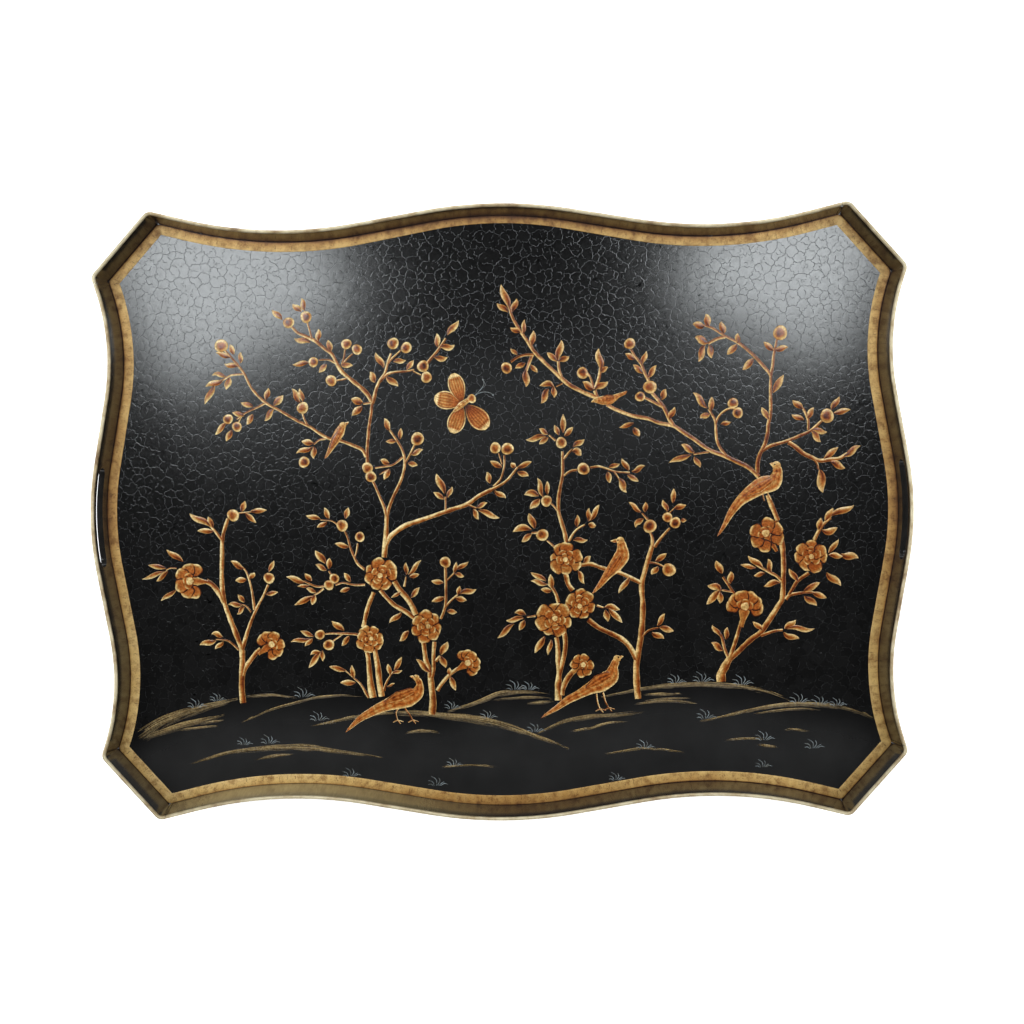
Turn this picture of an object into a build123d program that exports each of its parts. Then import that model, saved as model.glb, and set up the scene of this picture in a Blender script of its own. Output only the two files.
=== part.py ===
"""Large lacquered sheet-iron serving tray with a scalloped, eight-cornered rim.

The frame: +X to the right along the long sides, +Y to the back, +Z up, millimetres. The origin is
the middle of the tray on the surface that it stands on.

The tray is made the way a tinsmith makes one. A flat pan has its edge turned down. Four rim strips
stand round it, each with one scalloped side, one cut-off corner and a short lap tab, and each has
its top edge rolled outwards over an iron wire. The strips are butted and soldered at four seams,
and the pan is soldered to them from below. The two short sides have turned-out hand slots.
"""

import math
import os

from build123d import *

# Overall
TRAY_HEIGHT = 40.0
FLOOR_HEIGHT = 4.5
SHEET = 0.7

# Rim outline, measured at the bead's outer edge, before its corners are rounded
LONG_CORNER = (311.8, 274.4)
LONG_DIP = (203.0, 247.5)
LONG_CREST = 282.0
LONG_DIP_RADIUS = 375.0
LONG_CREST_RADIUS = 390.0
SHORT_CORNER = (363.4, 216.5)
SHORT_DIP = (344.0, 158.0)
SHORT_CREST = 372.5
SHORT_DIP_RADIUS = 200.0
SHORT_CREST_RADIUS = 270.0
CORNER_RADIUS = 8.2

# Rolled edge and wall
WIRE_RADIUS = 0.75
WIRE_PLAY = 0.05
BEAD_RADIUS = WIRE_RADIUS + WIRE_PLAY + SHEET
CURL_MOUTH_ANGLE = 115.0
WALL_FLARE = 4.2
WALL_INSET = 2 * BEAD_RADIUS + WALL_FLARE

# Floor pan
PAN_SHEET = 0.9
PAN_GAP = 0.65
PAN_CORNER_RADIUS = 3.0
PAN_EDGE_RADIUS = 2.0
PAN_FLANGE_FOOT = 1.0

# Seams between the strips
SEAM_FROM_CORNER = 7.0
SEAM_GAP = 0.5
LAP_LENGTH = 6.0
LAP_ROOT = 1.5
LAP_PLAY = 0.03
SEAM_CAP_WIDTH = 2.0
SEAM_CAP_RISE = 0.4
SEAM_TOP_MARGIN = 3.5

# Solder under the pan
PAN_SOLDER_LEG = 0.8
PAN_SOLDER_END_GAP = 9.0

# Hand slots in the short sides
SLOT_LENGTH = 90.0
SLOT_HEIGHT = 16.0
SLOT_CENTRE_HEIGHT = 24.5
SLOT_LIP_REACH = 0.4
SLOT_REACH_FROM = 300.0
SLOT_REACH_TO = 420.0

BEAD_CENTRE = (-BEAD_RADIUS, TRAY_HEIGHT - BEAD_RADIUS)
UP = (0, 0, 1)


def outline_corners():
    """The twenty corners of the rim outline, clockwise from above, from the left seam of the back."""
    half = [
        (-SHORT_CORNER[0], SHORT_CORNER[1]),
        (-LONG_CORNER[0], LONG_CORNER[1]),
        (-LONG_DIP[0], LONG_DIP[1]),
        (0, LONG_CREST),
        LONG_DIP,
        LONG_CORNER,
        SHORT_CORNER,
        SHORT_DIP,
        (SHORT_CREST, 0),
        (SHORT_DIP[0], -SHORT_DIP[1]),
    ]
    return [Vector(x, y) for x, y in half] + [Vector(-x, -y) for x, y in half]


def outline_radii(corner_radius):
    """One bend radius for each of the twenty outline corners."""
    long_side = [LONG_DIP_RADIUS, LONG_CREST_RADIUS, LONG_DIP_RADIUS]
    short_side = [SHORT_DIP_RADIUS, SHORT_CREST_RADIUS, SHORT_DIP_RADIUS]
    bends = [corner_radius, corner_radius]
    return (bends + long_side + bends + short_side) * 2


CORNERS = outline_corners()
RADII = outline_radii(CORNER_RADIUS)
STRIPS = ("back", "right", "front", "left")
CORNERS_PER_STRIP = 5


def wall_inner(height):
    """Distance of the flared wall's inner face from the rim's outer edge, at this height."""
    slope = WALL_FLARE / (BEAD_CENTRE[1] - FLOOR_HEIGHT)
    return -WALL_INSET + slope * (height - FLOOR_HEIGHT)


def wall_band(inner_offset, outer_offset, low, high):
    """Flat section of a band that follows the flared wall, its faces offset from the inner face."""
    with BuildSketch() as band:
        with BuildLine():
            Polyline(
                (wall_inner(low) + inner_offset, low),
                (wall_inner(low) + outer_offset, low),
                (wall_inner(high) + outer_offset, high),
                (wall_inner(high) + inner_offset, high),
                close=True,
            )
        make_face()
    return band.sketch


def rolled_edge():
    """Flat section of the top edge, curled outwards round the wire, with its mouth underneath."""
    mouth = 2 * BEAD_RADIUS
    angles = (180.0, 180.0 + CURL_MOUTH_ANGLE / 3, 360.0 - CURL_MOUTH_ANGLE)
    rays = [(mouth * math.cos(math.radians(a)), mouth * math.sin(math.radians(a))) for a in angles]
    with BuildSketch() as curl:
        with Locations(BEAD_CENTRE):
            Circle(BEAD_RADIUS)
            Circle(WIRE_RADIUS + WIRE_PLAY, mode=Mode.SUBTRACT)
            Polygon((0, 0), *rays, align=None, mode=Mode.SUBTRACT)
    return curl.sketch


def rim_section():
    """Flat section of a rim strip: the flared wall and its rolled edge."""
    with BuildSketch() as section:
        add(rolled_edge())
        add(wall_band(0, SHEET, 0, BEAD_CENTRE[1]))
    return section.sketch


def wire_section():
    """Flat section of the wire inside the rolled edge."""
    with BuildSketch() as section:
        with Locations(BEAD_CENTRE):
            Circle(WIRE_RADIUS)
    return section.sketch


def run_along(path, section):
    """Carry a flat section along a level path, outwards to the left of the way that it runs."""
    with BuildPart() as run:
        for stretch in path:
            heading = stretch % 0
            turned = stretch % 1
            outwards = heading.cross(Vector(0, 0, -1))
            with BuildSketch(Plane(origin=stretch @ 0, x_dir=outwards, z_dir=heading)):
                add(section)
            if stretch.geom_type == GeomType.LINE:
                extrude(amount=stretch.length)
            else:
                turn = math.degrees(math.atan2(heading.cross(turned).Z, heading.dot(turned)))
                revolve(axis=Axis(stretch.arc_center, UP), revolution_arc=turn)
    return run.part


def between(corner, other, along):
    """Point at this distance from one outline corner towards another, by their places in the list."""
    start = CORNERS[corner % len(CORNERS)]
    finish = CORNERS[other % len(CORNERS)]
    return start + (finish - start).normalized() * along


def strip_seam(index, along):
    """Point on the outline at this distance before the corner where a strip starts."""
    first = index * CORNERS_PER_STRIP
    return between(first, first - 1, along)


def strip_path(index, clearance):
    """Ordered edges of one strip's outline from its seam to the next, short by a clearance."""
    first = index * CORNERS_PER_STRIP
    turns = CORNERS[first : first + CORNERS_PER_STRIP]
    start = strip_seam(index, SEAM_FROM_CORNER - clearance)
    finish = strip_seam(index + 1, SEAM_FROM_CORNER + clearance)
    with BuildLine() as line:
        FilletPolyline(start, *turns, finish, radius=RADII[first : first + CORNERS_PER_STRIP])
    return line.wire().order_edges()


def straight_path(index, from_along, to_along):
    """One straight edge beside a strip's seam, measured from the corner, towards the corner."""
    return [Edge.make_line(strip_seam(index, from_along), strip_seam(index, to_along))]


def slot_prism(side, grow):
    """Long round-ended bar that points out through the wall of one short side."""
    with BuildPart() as prism:
        with BuildSketch(Plane.YZ.offset(side * SLOT_REACH_FROM)):
            with Locations((0, SLOT_CENTRE_HEIGHT)):
                SlotOverall(SLOT_LENGTH + 2 * grow, SLOT_HEIGHT + 2 * grow)
        extrude(amount=side * (SLOT_REACH_TO - SLOT_REACH_FROM))
    return prism.part


def slot_lip(path, side):
    """Collar round a hand slot, turned outwards from the wall to just inside the bead's reach."""
    low = SLOT_CENTRE_HEIGHT - SLOT_HEIGHT
    high = SLOT_CENTRE_HEIGHT + SLOT_HEIGHT
    with BuildSketch() as slab:
        with BuildLine():
            Polyline(
                (wall_inner(low) + SHEET / 2, low),
                (-SLOT_LIP_REACH, low),
                (-SLOT_LIP_REACH, high),
                (wall_inner(high) + SHEET / 2, high),
                close=True,
            )
        make_face()
    with BuildPart() as lip:
        add(run_along(path, slab.sketch))
        add(slot_prism(side, SHEET), mode=Mode.INTERSECT)
    return lip.part


def rim_strip(index):
    """One rim strip: wall, rolled edge, lap tab and, on a short side, a hand slot."""
    path = strip_path(index, SEAM_GAP / 2)
    lap_top = TRAY_HEIGHT - SEAM_TOP_MARGIN
    lap_face = SHEET + LAP_PLAY
    with BuildPart() as strip:
        add(run_along(path, rim_section()))
        lap = straight_path(index, SEAM_FROM_CORNER + LAP_LENGTH, SEAM_FROM_CORNER - LAP_ROOT)
        add(run_along(lap, wall_band(lap_face, lap_face + SHEET, PAN_FLANGE_FOOT, lap_top)))
        root = straight_path(index, SEAM_FROM_CORNER - SEAM_GAP, SEAM_FROM_CORNER - LAP_ROOT)
        add(run_along(root, wall_band(SHEET / 2, lap_face + SHEET / 2, PAN_FLANGE_FOOT, lap_top)))
        if STRIPS[index] in ("right", "left"):
            side = 1 if STRIPS[index] == "right" else -1
            add(slot_lip(path[-5:-2], side))
            add(slot_prism(side, 0), mode=Mode.SUBTRACT)
    return strip.part


def edge_wire(index):
    """The wire that one strip's top edge is rolled round, ending just inside the curl."""
    return run_along(strip_path(index, 2 * SEAM_GAP), wire_section())


def corner_seam(index):
    """Solder that fills one seam between two strips and stands a little proud inside the tray."""
    half_gap = SEAM_GAP / 2
    half_cap = SEAM_CAP_WIDTH / 2
    top = TRAY_HEIGHT - SEAM_TOP_MARGIN
    fill = straight_path(index, SEAM_FROM_CORNER + half_gap, SEAM_FROM_CORNER - half_gap)
    cap = straight_path(index, SEAM_FROM_CORNER + half_cap, SEAM_FROM_CORNER - half_cap)
    with BuildPart() as seam:
        add(run_along(fill, wall_band(-SEAM_CAP_RISE, SHEET, FLOOR_HEIGHT, top)))
        add(run_along(cap, wall_band(-SEAM_CAP_RISE, 0, FLOOR_HEIGHT, top)))
    return seam.part


def pan_outline(inset, corner_radius):
    """Flat face inside the rim outline by an inset, with corners of the given final radius."""
    with BuildSketch() as face:
        with BuildLine():
            FilletPolyline(*CORNERS, radius=outline_radii(corner_radius + inset), close=True)
        make_face()
        offset(amount=-inset, mode=Mode.REPLACE)
    return face.sketch


def floor_pan():
    """The flat floor with its edge turned down all round."""
    edge_inset = WALL_INSET + PAN_GAP
    with BuildPart() as pan:
        with BuildSketch(Plane.XY.offset(PAN_FLANGE_FOOT)):
            add(pan_outline(edge_inset, PAN_CORNER_RADIUS))
        extrude(amount=FLOOR_HEIGHT - PAN_FLANGE_FOOT)
        fillet(pan.faces().sort_by(Axis.Z)[-1].edges(), radius=PAN_EDGE_RADIUS)
        with BuildSketch(Plane.XY.offset(PAN_FLANGE_FOOT)):
            add(pan_outline(edge_inset + PAN_SHEET, PAN_CORNER_RADIUS - PAN_SHEET))
        extrude(amount=FLOOR_HEIGHT - PAN_SHEET - PAN_FLANGE_FOOT, mode=Mode.SUBTRACT)
    return pan.part


def pan_solder(path):
    """Solder in the angle under the pan's turned edge, along a path beside it."""
    low = PAN_FLANGE_FOOT - PAN_SOLDER_LEG
    return run_along(path, wall_band(-PAN_GAP - PAN_SOLDER_LEG, 0, low, PAN_FLANGE_FOOT))


def cut_corner_path(index):
    """The straight run along one strip's cut-off corner, short of both bends."""
    first = index * CORNERS_PER_STRIP
    start = between(first, first + 1, PAN_SOLDER_END_GAP)
    finish = between(first + 1, first, PAN_SOLDER_END_GAP)
    return [Edge.make_line(start, finish)]


def side_path(index):
    """The run along one strip's scalloped side, short of the bends at both ends."""
    first = index * CORNERS_PER_STRIP + 1
    last = first + CORNERS_PER_STRIP - 1
    start = between(first, first + 1, PAN_SOLDER_END_GAP)
    finish = between(last, last - 1, PAN_SOLDER_END_GAP)
    with BuildLine() as line:
        FilletPolyline(start, *CORNERS[first + 1 : last], finish, radius=RADII[first + 1 : last])
    return line.wire().order_edges()


def main():
    """Build every piece and write it to its own file."""
    pieces = {"floor_pan": floor_pan()}
    for index, name in enumerate(STRIPS):
        pieces[f"rim_strip_{name}"] = rim_strip(index)
        pieces[f"edge_wire_{name}"] = edge_wire(index)
        pieces[f"corner_seam_{name}"] = corner_seam(index)
        pieces[f"pan_solder_{name}"] = pan_solder(side_path(index))
        pieces[f"pan_solder_{name}_corner"] = pan_solder(cut_corner_path(index))
    os.makedirs("parts", exist_ok=True)
    for name, piece in pieces.items():
        piece.label = name
        export_step(piece, f"parts/{name}.step")


main()
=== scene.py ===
"""Black lacquer serving tray with a painted garden scene: the looks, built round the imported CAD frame.

The CAD nodes stay and get lacquer, gilt, iron and solder finishes. Thin films laid on the tray's
floor make the rest: the crackle of the old lacquer, the gilt band that follows the rim, and the
painting with its ground, grass, flowering shrubs, birds and butterfly. Lengths in the tables are
millimetres, with x to the right, y to the back and the origin in the middle of the tray.
"""

import math
import random

import bpy
import numpy as np
from mathutils import geometry, Matrix, Quaternion, Vector


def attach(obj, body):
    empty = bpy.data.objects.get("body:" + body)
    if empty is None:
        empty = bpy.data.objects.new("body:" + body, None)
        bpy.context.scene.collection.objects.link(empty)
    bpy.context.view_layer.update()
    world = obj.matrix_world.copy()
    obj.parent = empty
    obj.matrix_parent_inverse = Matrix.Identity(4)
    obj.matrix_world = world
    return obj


MM = 0.001
SEED = 7

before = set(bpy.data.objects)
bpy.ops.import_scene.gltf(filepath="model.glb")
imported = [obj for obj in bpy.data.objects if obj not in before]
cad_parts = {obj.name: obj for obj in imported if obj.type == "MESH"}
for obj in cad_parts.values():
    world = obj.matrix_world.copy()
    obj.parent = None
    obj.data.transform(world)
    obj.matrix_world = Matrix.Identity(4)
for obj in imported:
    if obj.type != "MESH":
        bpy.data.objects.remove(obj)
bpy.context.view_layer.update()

FLOOR_TOP = 4.5

# Levels above the floor of what is laid on it, for the skin's plates at their edge, shoulder and middle
SKIN_EDGE = 0.072
SKIN_SHOULDER = 0.09
SKIN_MIDDLE = 0.094
GROUND_LEVEL = 0.14
BAND_LEVEL = 0.13
STROKE_LEVEL = 0.17
STEM_LEVEL = 0.16
LEAF_LEVEL = 0.24
BLOOM_LEVEL = 0.34


# ---------------------------------------------------------------- colours

def srgb(red, green, blue):
    """A display colour from 0 to 255 as linear values."""
    scaled = [c / 255 for c in (red, green, blue)]
    return np.array([c / 12.92 if c <= 0.04045 else ((c + 0.055) / 1.055) ** 2.4 for c in scaled])


CREAM = srgb(232, 212, 158)
PALE_GOLD = srgb(194, 158, 94)
AMBER = srgb(172, 121, 61)
ORANGE = srgb(158, 84, 28)
RUST = srgb(96, 42, 12)
UMBER = srgb(44, 22, 14)
OLIVE_GOLD = srgb(164, 143, 96)
OLIVE_SHADE = srgb(58, 50, 34)
GRASS_WHITE = srgb(126, 138, 144)
LIGHT_GLAZE = np.array([0.90, 0.90, 0.88])
# Painted shade: this tint darkens the middle plants, as if less light reached them.
PAINTED_SHADE_DIMMING = np.array([0.82, 0.81, 0.78])
RUST_GLAZE = np.array([0.80, 0.72, 0.62])

# Tones from 0 to 1, as (tone, colour)
WARM = [(0, UMBER), (0.2, RUST), (0.42, ORANGE), (0.62, AMBER), (0.8, PALE_GOLD), (1.0, CREAM)]
BARK = [(0, RUST), (0.3, ORANGE), (0.55, AMBER), (0.75, PALE_GOLD), (1.0, CREAM)]
GILT = [(0.1, srgb(66, 36, 18)), (0.3, srgb(122, 82, 40)), (0.5, srgb(170, 130, 70)),
        (0.75, srgb(200, 168, 106)), (1.0, srgb(216, 190, 136))]


def mix(a, b, share):
    """Colours between a and b, one for each share."""
    share = np.clip(share, 0, 1)[..., None]
    return a * (1 - share) + b * share


def ramp(tones, stops):
    """Colours at the given tones along (tone, colour) stops."""
    places = [s[0] for s in stops]
    channels = [np.interp(tones, places, [s[1][k] for s in stops]) for k in range(3)]
    return np.stack(channels, axis=-1)


# ---------------------------------------------------------------- films and strokes

class Film:
    """A mesh of thin paint, collected patch by patch, with a colour at each point."""

    def __init__(self, name):
        self.name = name
        self.points = []
        self.tints = []
        self.faces = []
        self.count = 0

    def add(self, points, tints):
        """Adds points with their tints and returns the index of the first."""
        start = self.count
        self.points.append(points.reshape(-1, 3))
        self.tints.append(tints.reshape(-1, 3))
        self.count += len(self.points[-1])
        return start

    def grid(self, flat, level, tints, closed=False):
        """A patch of rows by columns that faces up, and the index of its first point.

        Flat holds the places seen from above. Level, above the floor, and tints may be one value
        for all. Closed joins the last column to the first.
        """
        rows, columns = flat.shape[:2]
        top = np.broadcast_to(FLOOR_TOP + level, (rows, columns))
        start = self.add(np.dstack([flat, top]), np.broadcast_to(tints, (rows, columns, 3)))
        u = flat[1:, 1:] - flat[:-1, :-1]
        v = flat[1:, :-1] - flat[:-1, 1:]
        turn = 1 if (u[..., 0] * v[..., 1] - u[..., 1] * v[..., 0]).sum() > 0 else -1
        for r in range(rows - 1):
            for c in range(columns if closed else columns - 1):
                d = (c + 1) % columns
                a = start + r * columns
                b = a + columns
                self.faces.append((a + c, a + d, b + d, b + c)[::turn])
        return start

    def cap(self, centre, level, tint, ring_start, ring_count):
        """Closes a ring of points, added before, onto one middle point."""
        middle = self.add(np.array([*centre, FLOOR_TOP + level]), tint)
        for c in range(ring_count):
            self.faces.append((middle, ring_start + c, ring_start + (c + 1) % ring_count))

    def glaze_and_shade(self, colour):
        """Deepens every tint laid so far; on the middle plants this is painted shade."""
        self.tints = [tints * colour for tints in self.tints]

    def object(self, material, slot, smooth=True):
        """The film as a piece of the tray."""
        mesh = bpy.data.meshes.new(self.name)
        points = np.concatenate(self.points) * MM
        tints = np.concatenate(self.tints)
        mesh.from_pydata(points.tolist(), [], self.faces)
        layer = mesh.color_attributes.new("tint", "FLOAT_COLOR", "POINT")
        rgba = np.concatenate([tints, np.ones((len(tints), 1))], axis=1)
        layer.data.foreach_set("color", rgba.astype(np.float32).ravel())
        mesh.polygons.foreach_set("use_smooth", [smooth] * len(mesh.polygons))
        mesh.materials.append(material)
        mesh.update()
        piece = bpy.data.objects.new(self.name, mesh)
        bpy.context.scene.collection.objects.link(piece)
        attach(piece, "root")
        return piece


def left_of(along):
    """The unit vector a quarter turn to the left of a direction."""
    return np.array([-along[1], along[0]]) / max(np.hypot(*along), 1e-6)


def curve_through(points, step):
    """A smooth line through the points, sampled about every step millimetres."""
    points = np.array(points, float)
    if len(points) == 2:
        count = max(2, int(np.hypot(*(points[1] - points[0])) / step) + 1)
        share = np.linspace(0, 1, count)[:, None]
        return points[0] * (1 - share) + points[1] * share
    before = 2 * points[0] - points[1]
    after = 2 * points[-1] - points[-2]
    full = np.vstack([before, points, after])
    found = []
    for i in range(len(points) - 1):
        a, b, c, d = full[i:i + 4]
        count = max(2, int(round(np.hypot(*(c - b)) / step)))
        t = np.arange(count)[:, None] / count
        found.append(0.5 * (2 * b + (c - a) * t + (2 * a - 5 * b + 4 * c - d) * t ** 2
                            + (3 * b - a - 3 * c + d) * t ** 3))
    found.append(points[-1:])
    return np.vstack(found)


def run_along(line):
    """The distance run at each point of a line."""
    return np.concatenate([[0], np.cumsum(np.hypot(*np.diff(line, axis=0).T))])


def sides_of(line):
    """Unit vectors to the left of a line, at each point."""
    along = np.gradient(line, axis=0)
    along = along / np.maximum(np.hypot(*along.T), 1e-9)[:, None]
    return np.stack([-along[:, 1], along[:, 0]], axis=1)


def wander(rng, places, scale):
    """Smooth seeded noise from -1 to 1 along a line, changing over the given scale."""
    knots = max(4, int(places[-1] / scale) + 4)
    values = [rng.uniform(-1, 1) for _ in range(knots)]
    return np.interp(places / scale, range(knots), values)


STROKE_ACROSS = np.array([-1.0, -0.8, -0.4, 0.0, 0.4, 0.8, 1.0])


def ribbon(film, line, half_widths, level, height, tints, across=STROKE_ACROSS):
    """A crowned ribbon along a line; tints is rows by the places across, or one colour."""
    flat = line[:, None, :] + sides_of(line)[:, None, :] * (half_widths[:, None] * across)[..., None]
    film.grid(flat, level + np.sqrt(1 - across ** 2) * height, tints)


def stem(film, rng, width_start, width_end, points):
    """A two-toned stem: a pale side and a rust side, whose border wanders."""
    line = curve_through(points, 1.6)
    run = run_along(line)
    share = run / run[-1]
    half = (width_start + (width_end - width_start) * share) / 2
    half = half * (1 + 0.12 * wander(rng, run, 5.0))
    border = 0.15 + 0.55 * wander(rng, run, 12.0)
    tone = 0.62 + (STROKE_ACROSS[None, :] - border[:, None]) * 0.8
    tone = np.maximum(tone, 0.76 * (np.abs(STROKE_ACROSS) > 0.9)[None, :])
    tone = tone + 0.22 * wander(rng, run, 4.0)[:, None]
    ribbon(film, line, half, STEM_LEVEL, 0.16, ramp(tone, BARK))


LEAF_ROWS = 11
LEAF_FOOT = 0.45
LEAF_TIP = 0.12


def leaf(film, rng, x0, y0, x1, y1, width, arch=0.0):
    """An almond leaf from its base to its tip; arch bulges its middle up the tray."""
    base, tip = np.array([x0, y0], float), np.array([x1, y1], float)
    chord = tip - base
    normal = left_of(chord)
    up = normal if normal[1] >= 0 else -normal
    t = np.linspace(0, 1, LEAF_ROWS)
    sway = rng.uniform(-0.06, 0.06) * np.hypot(*chord)
    bulge = arch * np.sin(math.pi * t) + sway * np.sin(2 * math.pi * t)
    line = base + chord * t[:, None] + up * bulge[:, None]
    blunt = rng.uniform(0.62, 0.85)
    half = 0.55 * width * np.sin(math.pi * t ** 1.02) ** blunt * (1 - 0.25 * t ** 3)
    half = np.maximum(half, [LEAF_FOOT] + [LEAF_TIP] * (LEAF_ROWS - 1))
    dark_side = rng.choice([-1, 1])
    across = STROKE_ACROSS[None, :]
    rim = np.abs(across) ** 5
    heart = np.exp(-((across - 0.3 * dark_side) / 0.45) ** 2) * (1 - t[:, None] ** 1.3)
    tone = 0.45 + 0.36 * rim + 0.54 * t[:, None] ** 1.3 - 0.5 * heart - 0.2 * dark_side * across
    ribbon(film, line, half, LEAF_LEVEL, 0.2, ramp(tone + rng.uniform(-0.08, 0.08), WARM))


RINGS = np.array([0.3, 0.5, 0.66, 0.78, 0.87, 0.94, 1.0])
BERRY_POINTS = 20
PETAL_POINTS = 26


def ring_angles(count):
    """Evenly spaced angles round a full turn."""
    return np.arange(count) * 2 * math.pi / count


def disc(film, centre, radii, level, height, tone_of, stops=WARM):
    """A rounded patch about a centre; tone_of(share from the centre, angle) picks its colour."""
    angles = ring_angles(len(radii))
    spokes = radii[:, None] * np.stack([np.cos(angles), np.sin(angles)], axis=1)
    flat = np.array(centre) + RINGS[:, None, None] * spokes[None]
    tone = np.broadcast_to(tone_of(RINGS[:, None], angles[None, :]), flat.shape[:2])
    tints = ramp(tone, stops)
    start = film.grid(flat, level + height * np.sqrt(1 - RINGS ** 2)[:, None], tints, closed=True)
    film.cap(centre, level + height, tints[0].mean(axis=0), start, len(radii))


def ruffle(rng, count, waves):
    """Factors near 1 round a ring; waves are how many go round it and how deep they are."""
    angles = ring_angles(count)
    return 1 + sum(depth * np.cos(turns * angles + rng.uniform(0, 6)) for turns, depth in waves)


def berry(film, rng, x, y, radius):
    """A round berry with a pale ring and a rust heart."""
    radii = radius * ruffle(rng, BERRY_POINTS, [(2, 0.04), (3, 0.03)])
    lit = rng.uniform(0, 2 * math.pi)
    depth = rng.uniform(0.55, 0.85)
    flecks = rng.uniform(0, 6)

    def tone(ring, angle):
        heart = 1 / (1 + np.exp((ring - 0.62) * 12))
        patchy = 0.14 * np.cos(angle - lit) + 0.12 * np.sin(3 * angle + flecks) * ring
        return 0.96 - depth * heart + patchy - 0.2 * (ring > 0.97)

    disc(film, (x, y), radii, BLOOM_LEVEL, 0.3, tone)


def petal(film, rng, hub, angle, reach, size, level, base, spread, fold):
    """One ruffled petal whose middle is reach from the hub: warm inside, pale outside.

    base and spread set its tone from the hub outwards; fold darkens the edges that other petals cross.
    """
    centre = np.array(hub) + reach * np.array([math.cos(angle), math.sin(angle)])
    uneven = ruffle(rng, PETAL_POINTS, [(3, 0.05), (5, 0.04)])
    radii = size * uneven * (1 - 0.10 * np.cos(ring_angles(PETAL_POINTS) - angle) ** 2)
    streaks = rng.uniform(0, 6)
    lean = rng.uniform(-0.5, 0.5)

    def tone(ring, turn):
        facing = np.cos(turn - angle)
        outward = ring * np.cos(turn - angle + lean)
        rim = np.clip((ring - 0.62) / 0.2, 0, 1) * np.clip(0.2 + facing, 0, 1)
        veins = 0.08 * np.sin(6 * (turn - angle) + streaks) * ring * (1 - rim)
        crossed = np.clip(1.15 - 1.3 * facing, 0, 1)
        crease = (fold + (0.6 - fold) * crossed) * np.clip((ring - 0.8) / 0.1, 0, 1)
        return base + spread * outward ** 3 + 0.3 * rim + veins - crease

    disc(film, centre, radii, level, 0.02, tone)


# A ring of petals is how many there are, their reach and size as shares of the blossom's radius,
# their rise, their tone at the hub and its spread outwards, and how dark their folds are.
PEONY_RINGS = [(7, 0.61, 0.41, 0.0, 0.46, 0.4, 0.0), (5, 0.34, 0.27, 0.19, 0.4, 0.36, 0.0),
               (4, 0.19, 0.17, 0.34, 0.46, 0.3, 0.1)]
PETAL_STEP = 0.022


def peony(film, rng, x, y, radius):
    """A full-faced blossom: broad pale petals around small, warm, crumpled ones and a pale eye."""
    turn = rng.uniform(0, 2 * math.pi)
    for count, reach, size, rise, base, spread, fold in PEONY_RINGS:
        order = list(range(count))
        rng.shuffle(order)
        for step, k in enumerate(order):
            angle = turn + k * 2 * math.pi / count + rng.uniform(-0.2, 0.2)
            petal(film, rng, (x, y), angle, radius * reach * rng.uniform(0.86, 1.06),
                  radius * size * rng.uniform(0.85, 1.15), BLOOM_LEVEL + rise + PETAL_STEP * step,
                  base + rng.uniform(-0.07, 0.07), spread, fold)
        turn += 0.5
    petal(film, rng, (x + rng.uniform(-1.2, 1.2), y + rng.uniform(-1.2, 1.2)), turn, 0.5, radius * 0.17,
          BLOOM_LEVEL + 0.45, 0.9, 0.1, 0.35)


def calyx(film, rng, base, hub, width):
    """The cup under a blossom, widening from its stem to the petals."""
    t = np.linspace(0, 1, 10)
    line = np.array(base) * (1 - t[:, None]) + np.array(hub) * t[:, None]
    half = (1.4 + (width / 2 - 1.4) * t ** 1.7) * np.sqrt(1 - 0.9 * t ** 10)
    streaks = rng.uniform(0, 6)
    tone = 0.44 + 0.36 * np.abs(STROKE_ACROSS) ** 3 + 0.1 * np.sin(4 * STROKE_ACROSS + streaks)
    tone = tone[None, :] + 0.1 * np.sin(3 * t + streaks)[:, None]
    ribbon(film, line, half, BLOOM_LEVEL + 0.02, 0.14, ramp(tone, WARM))


def fan_blossom(film, rng, x, y, radius, base_x, base_y, spread=1.5):
    """A blossom seen from the side, opening away from its base; spread is how far round its petals go."""
    away = math.atan2(y - base_y, x - base_x)
    calyx(film, rng, (base_x, base_y), (x, y), radius * 0.8)
    for k, lean in enumerate((-1.0, 1.0, -0.66, 0.66, -0.27, 0.27)):
        petal(film, rng, (x, y), away + lean * spread, radius * 0.62, radius * 0.42,
              BLOOM_LEVEL + 0.18 + PETAL_STEP * k, 0.46, 0.4, 0.0)
    for k, lean in enumerate((-0.9, 0.9, 0.0)):
        petal(film, rng, (x, y), away + lean, radius * 0.28, radius * 0.26,
              BLOOM_LEVEL + 0.33 + PETAL_STEP * k, 0.4, 0.36, 0.1)
    petal(film, rng, (x, y), away, radius * 0.1, radius * 0.25, BLOOM_LEVEL + 0.42, 0.9, 0.1, 0.35)


# ---------------------------------------------------------------- the plants

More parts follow.
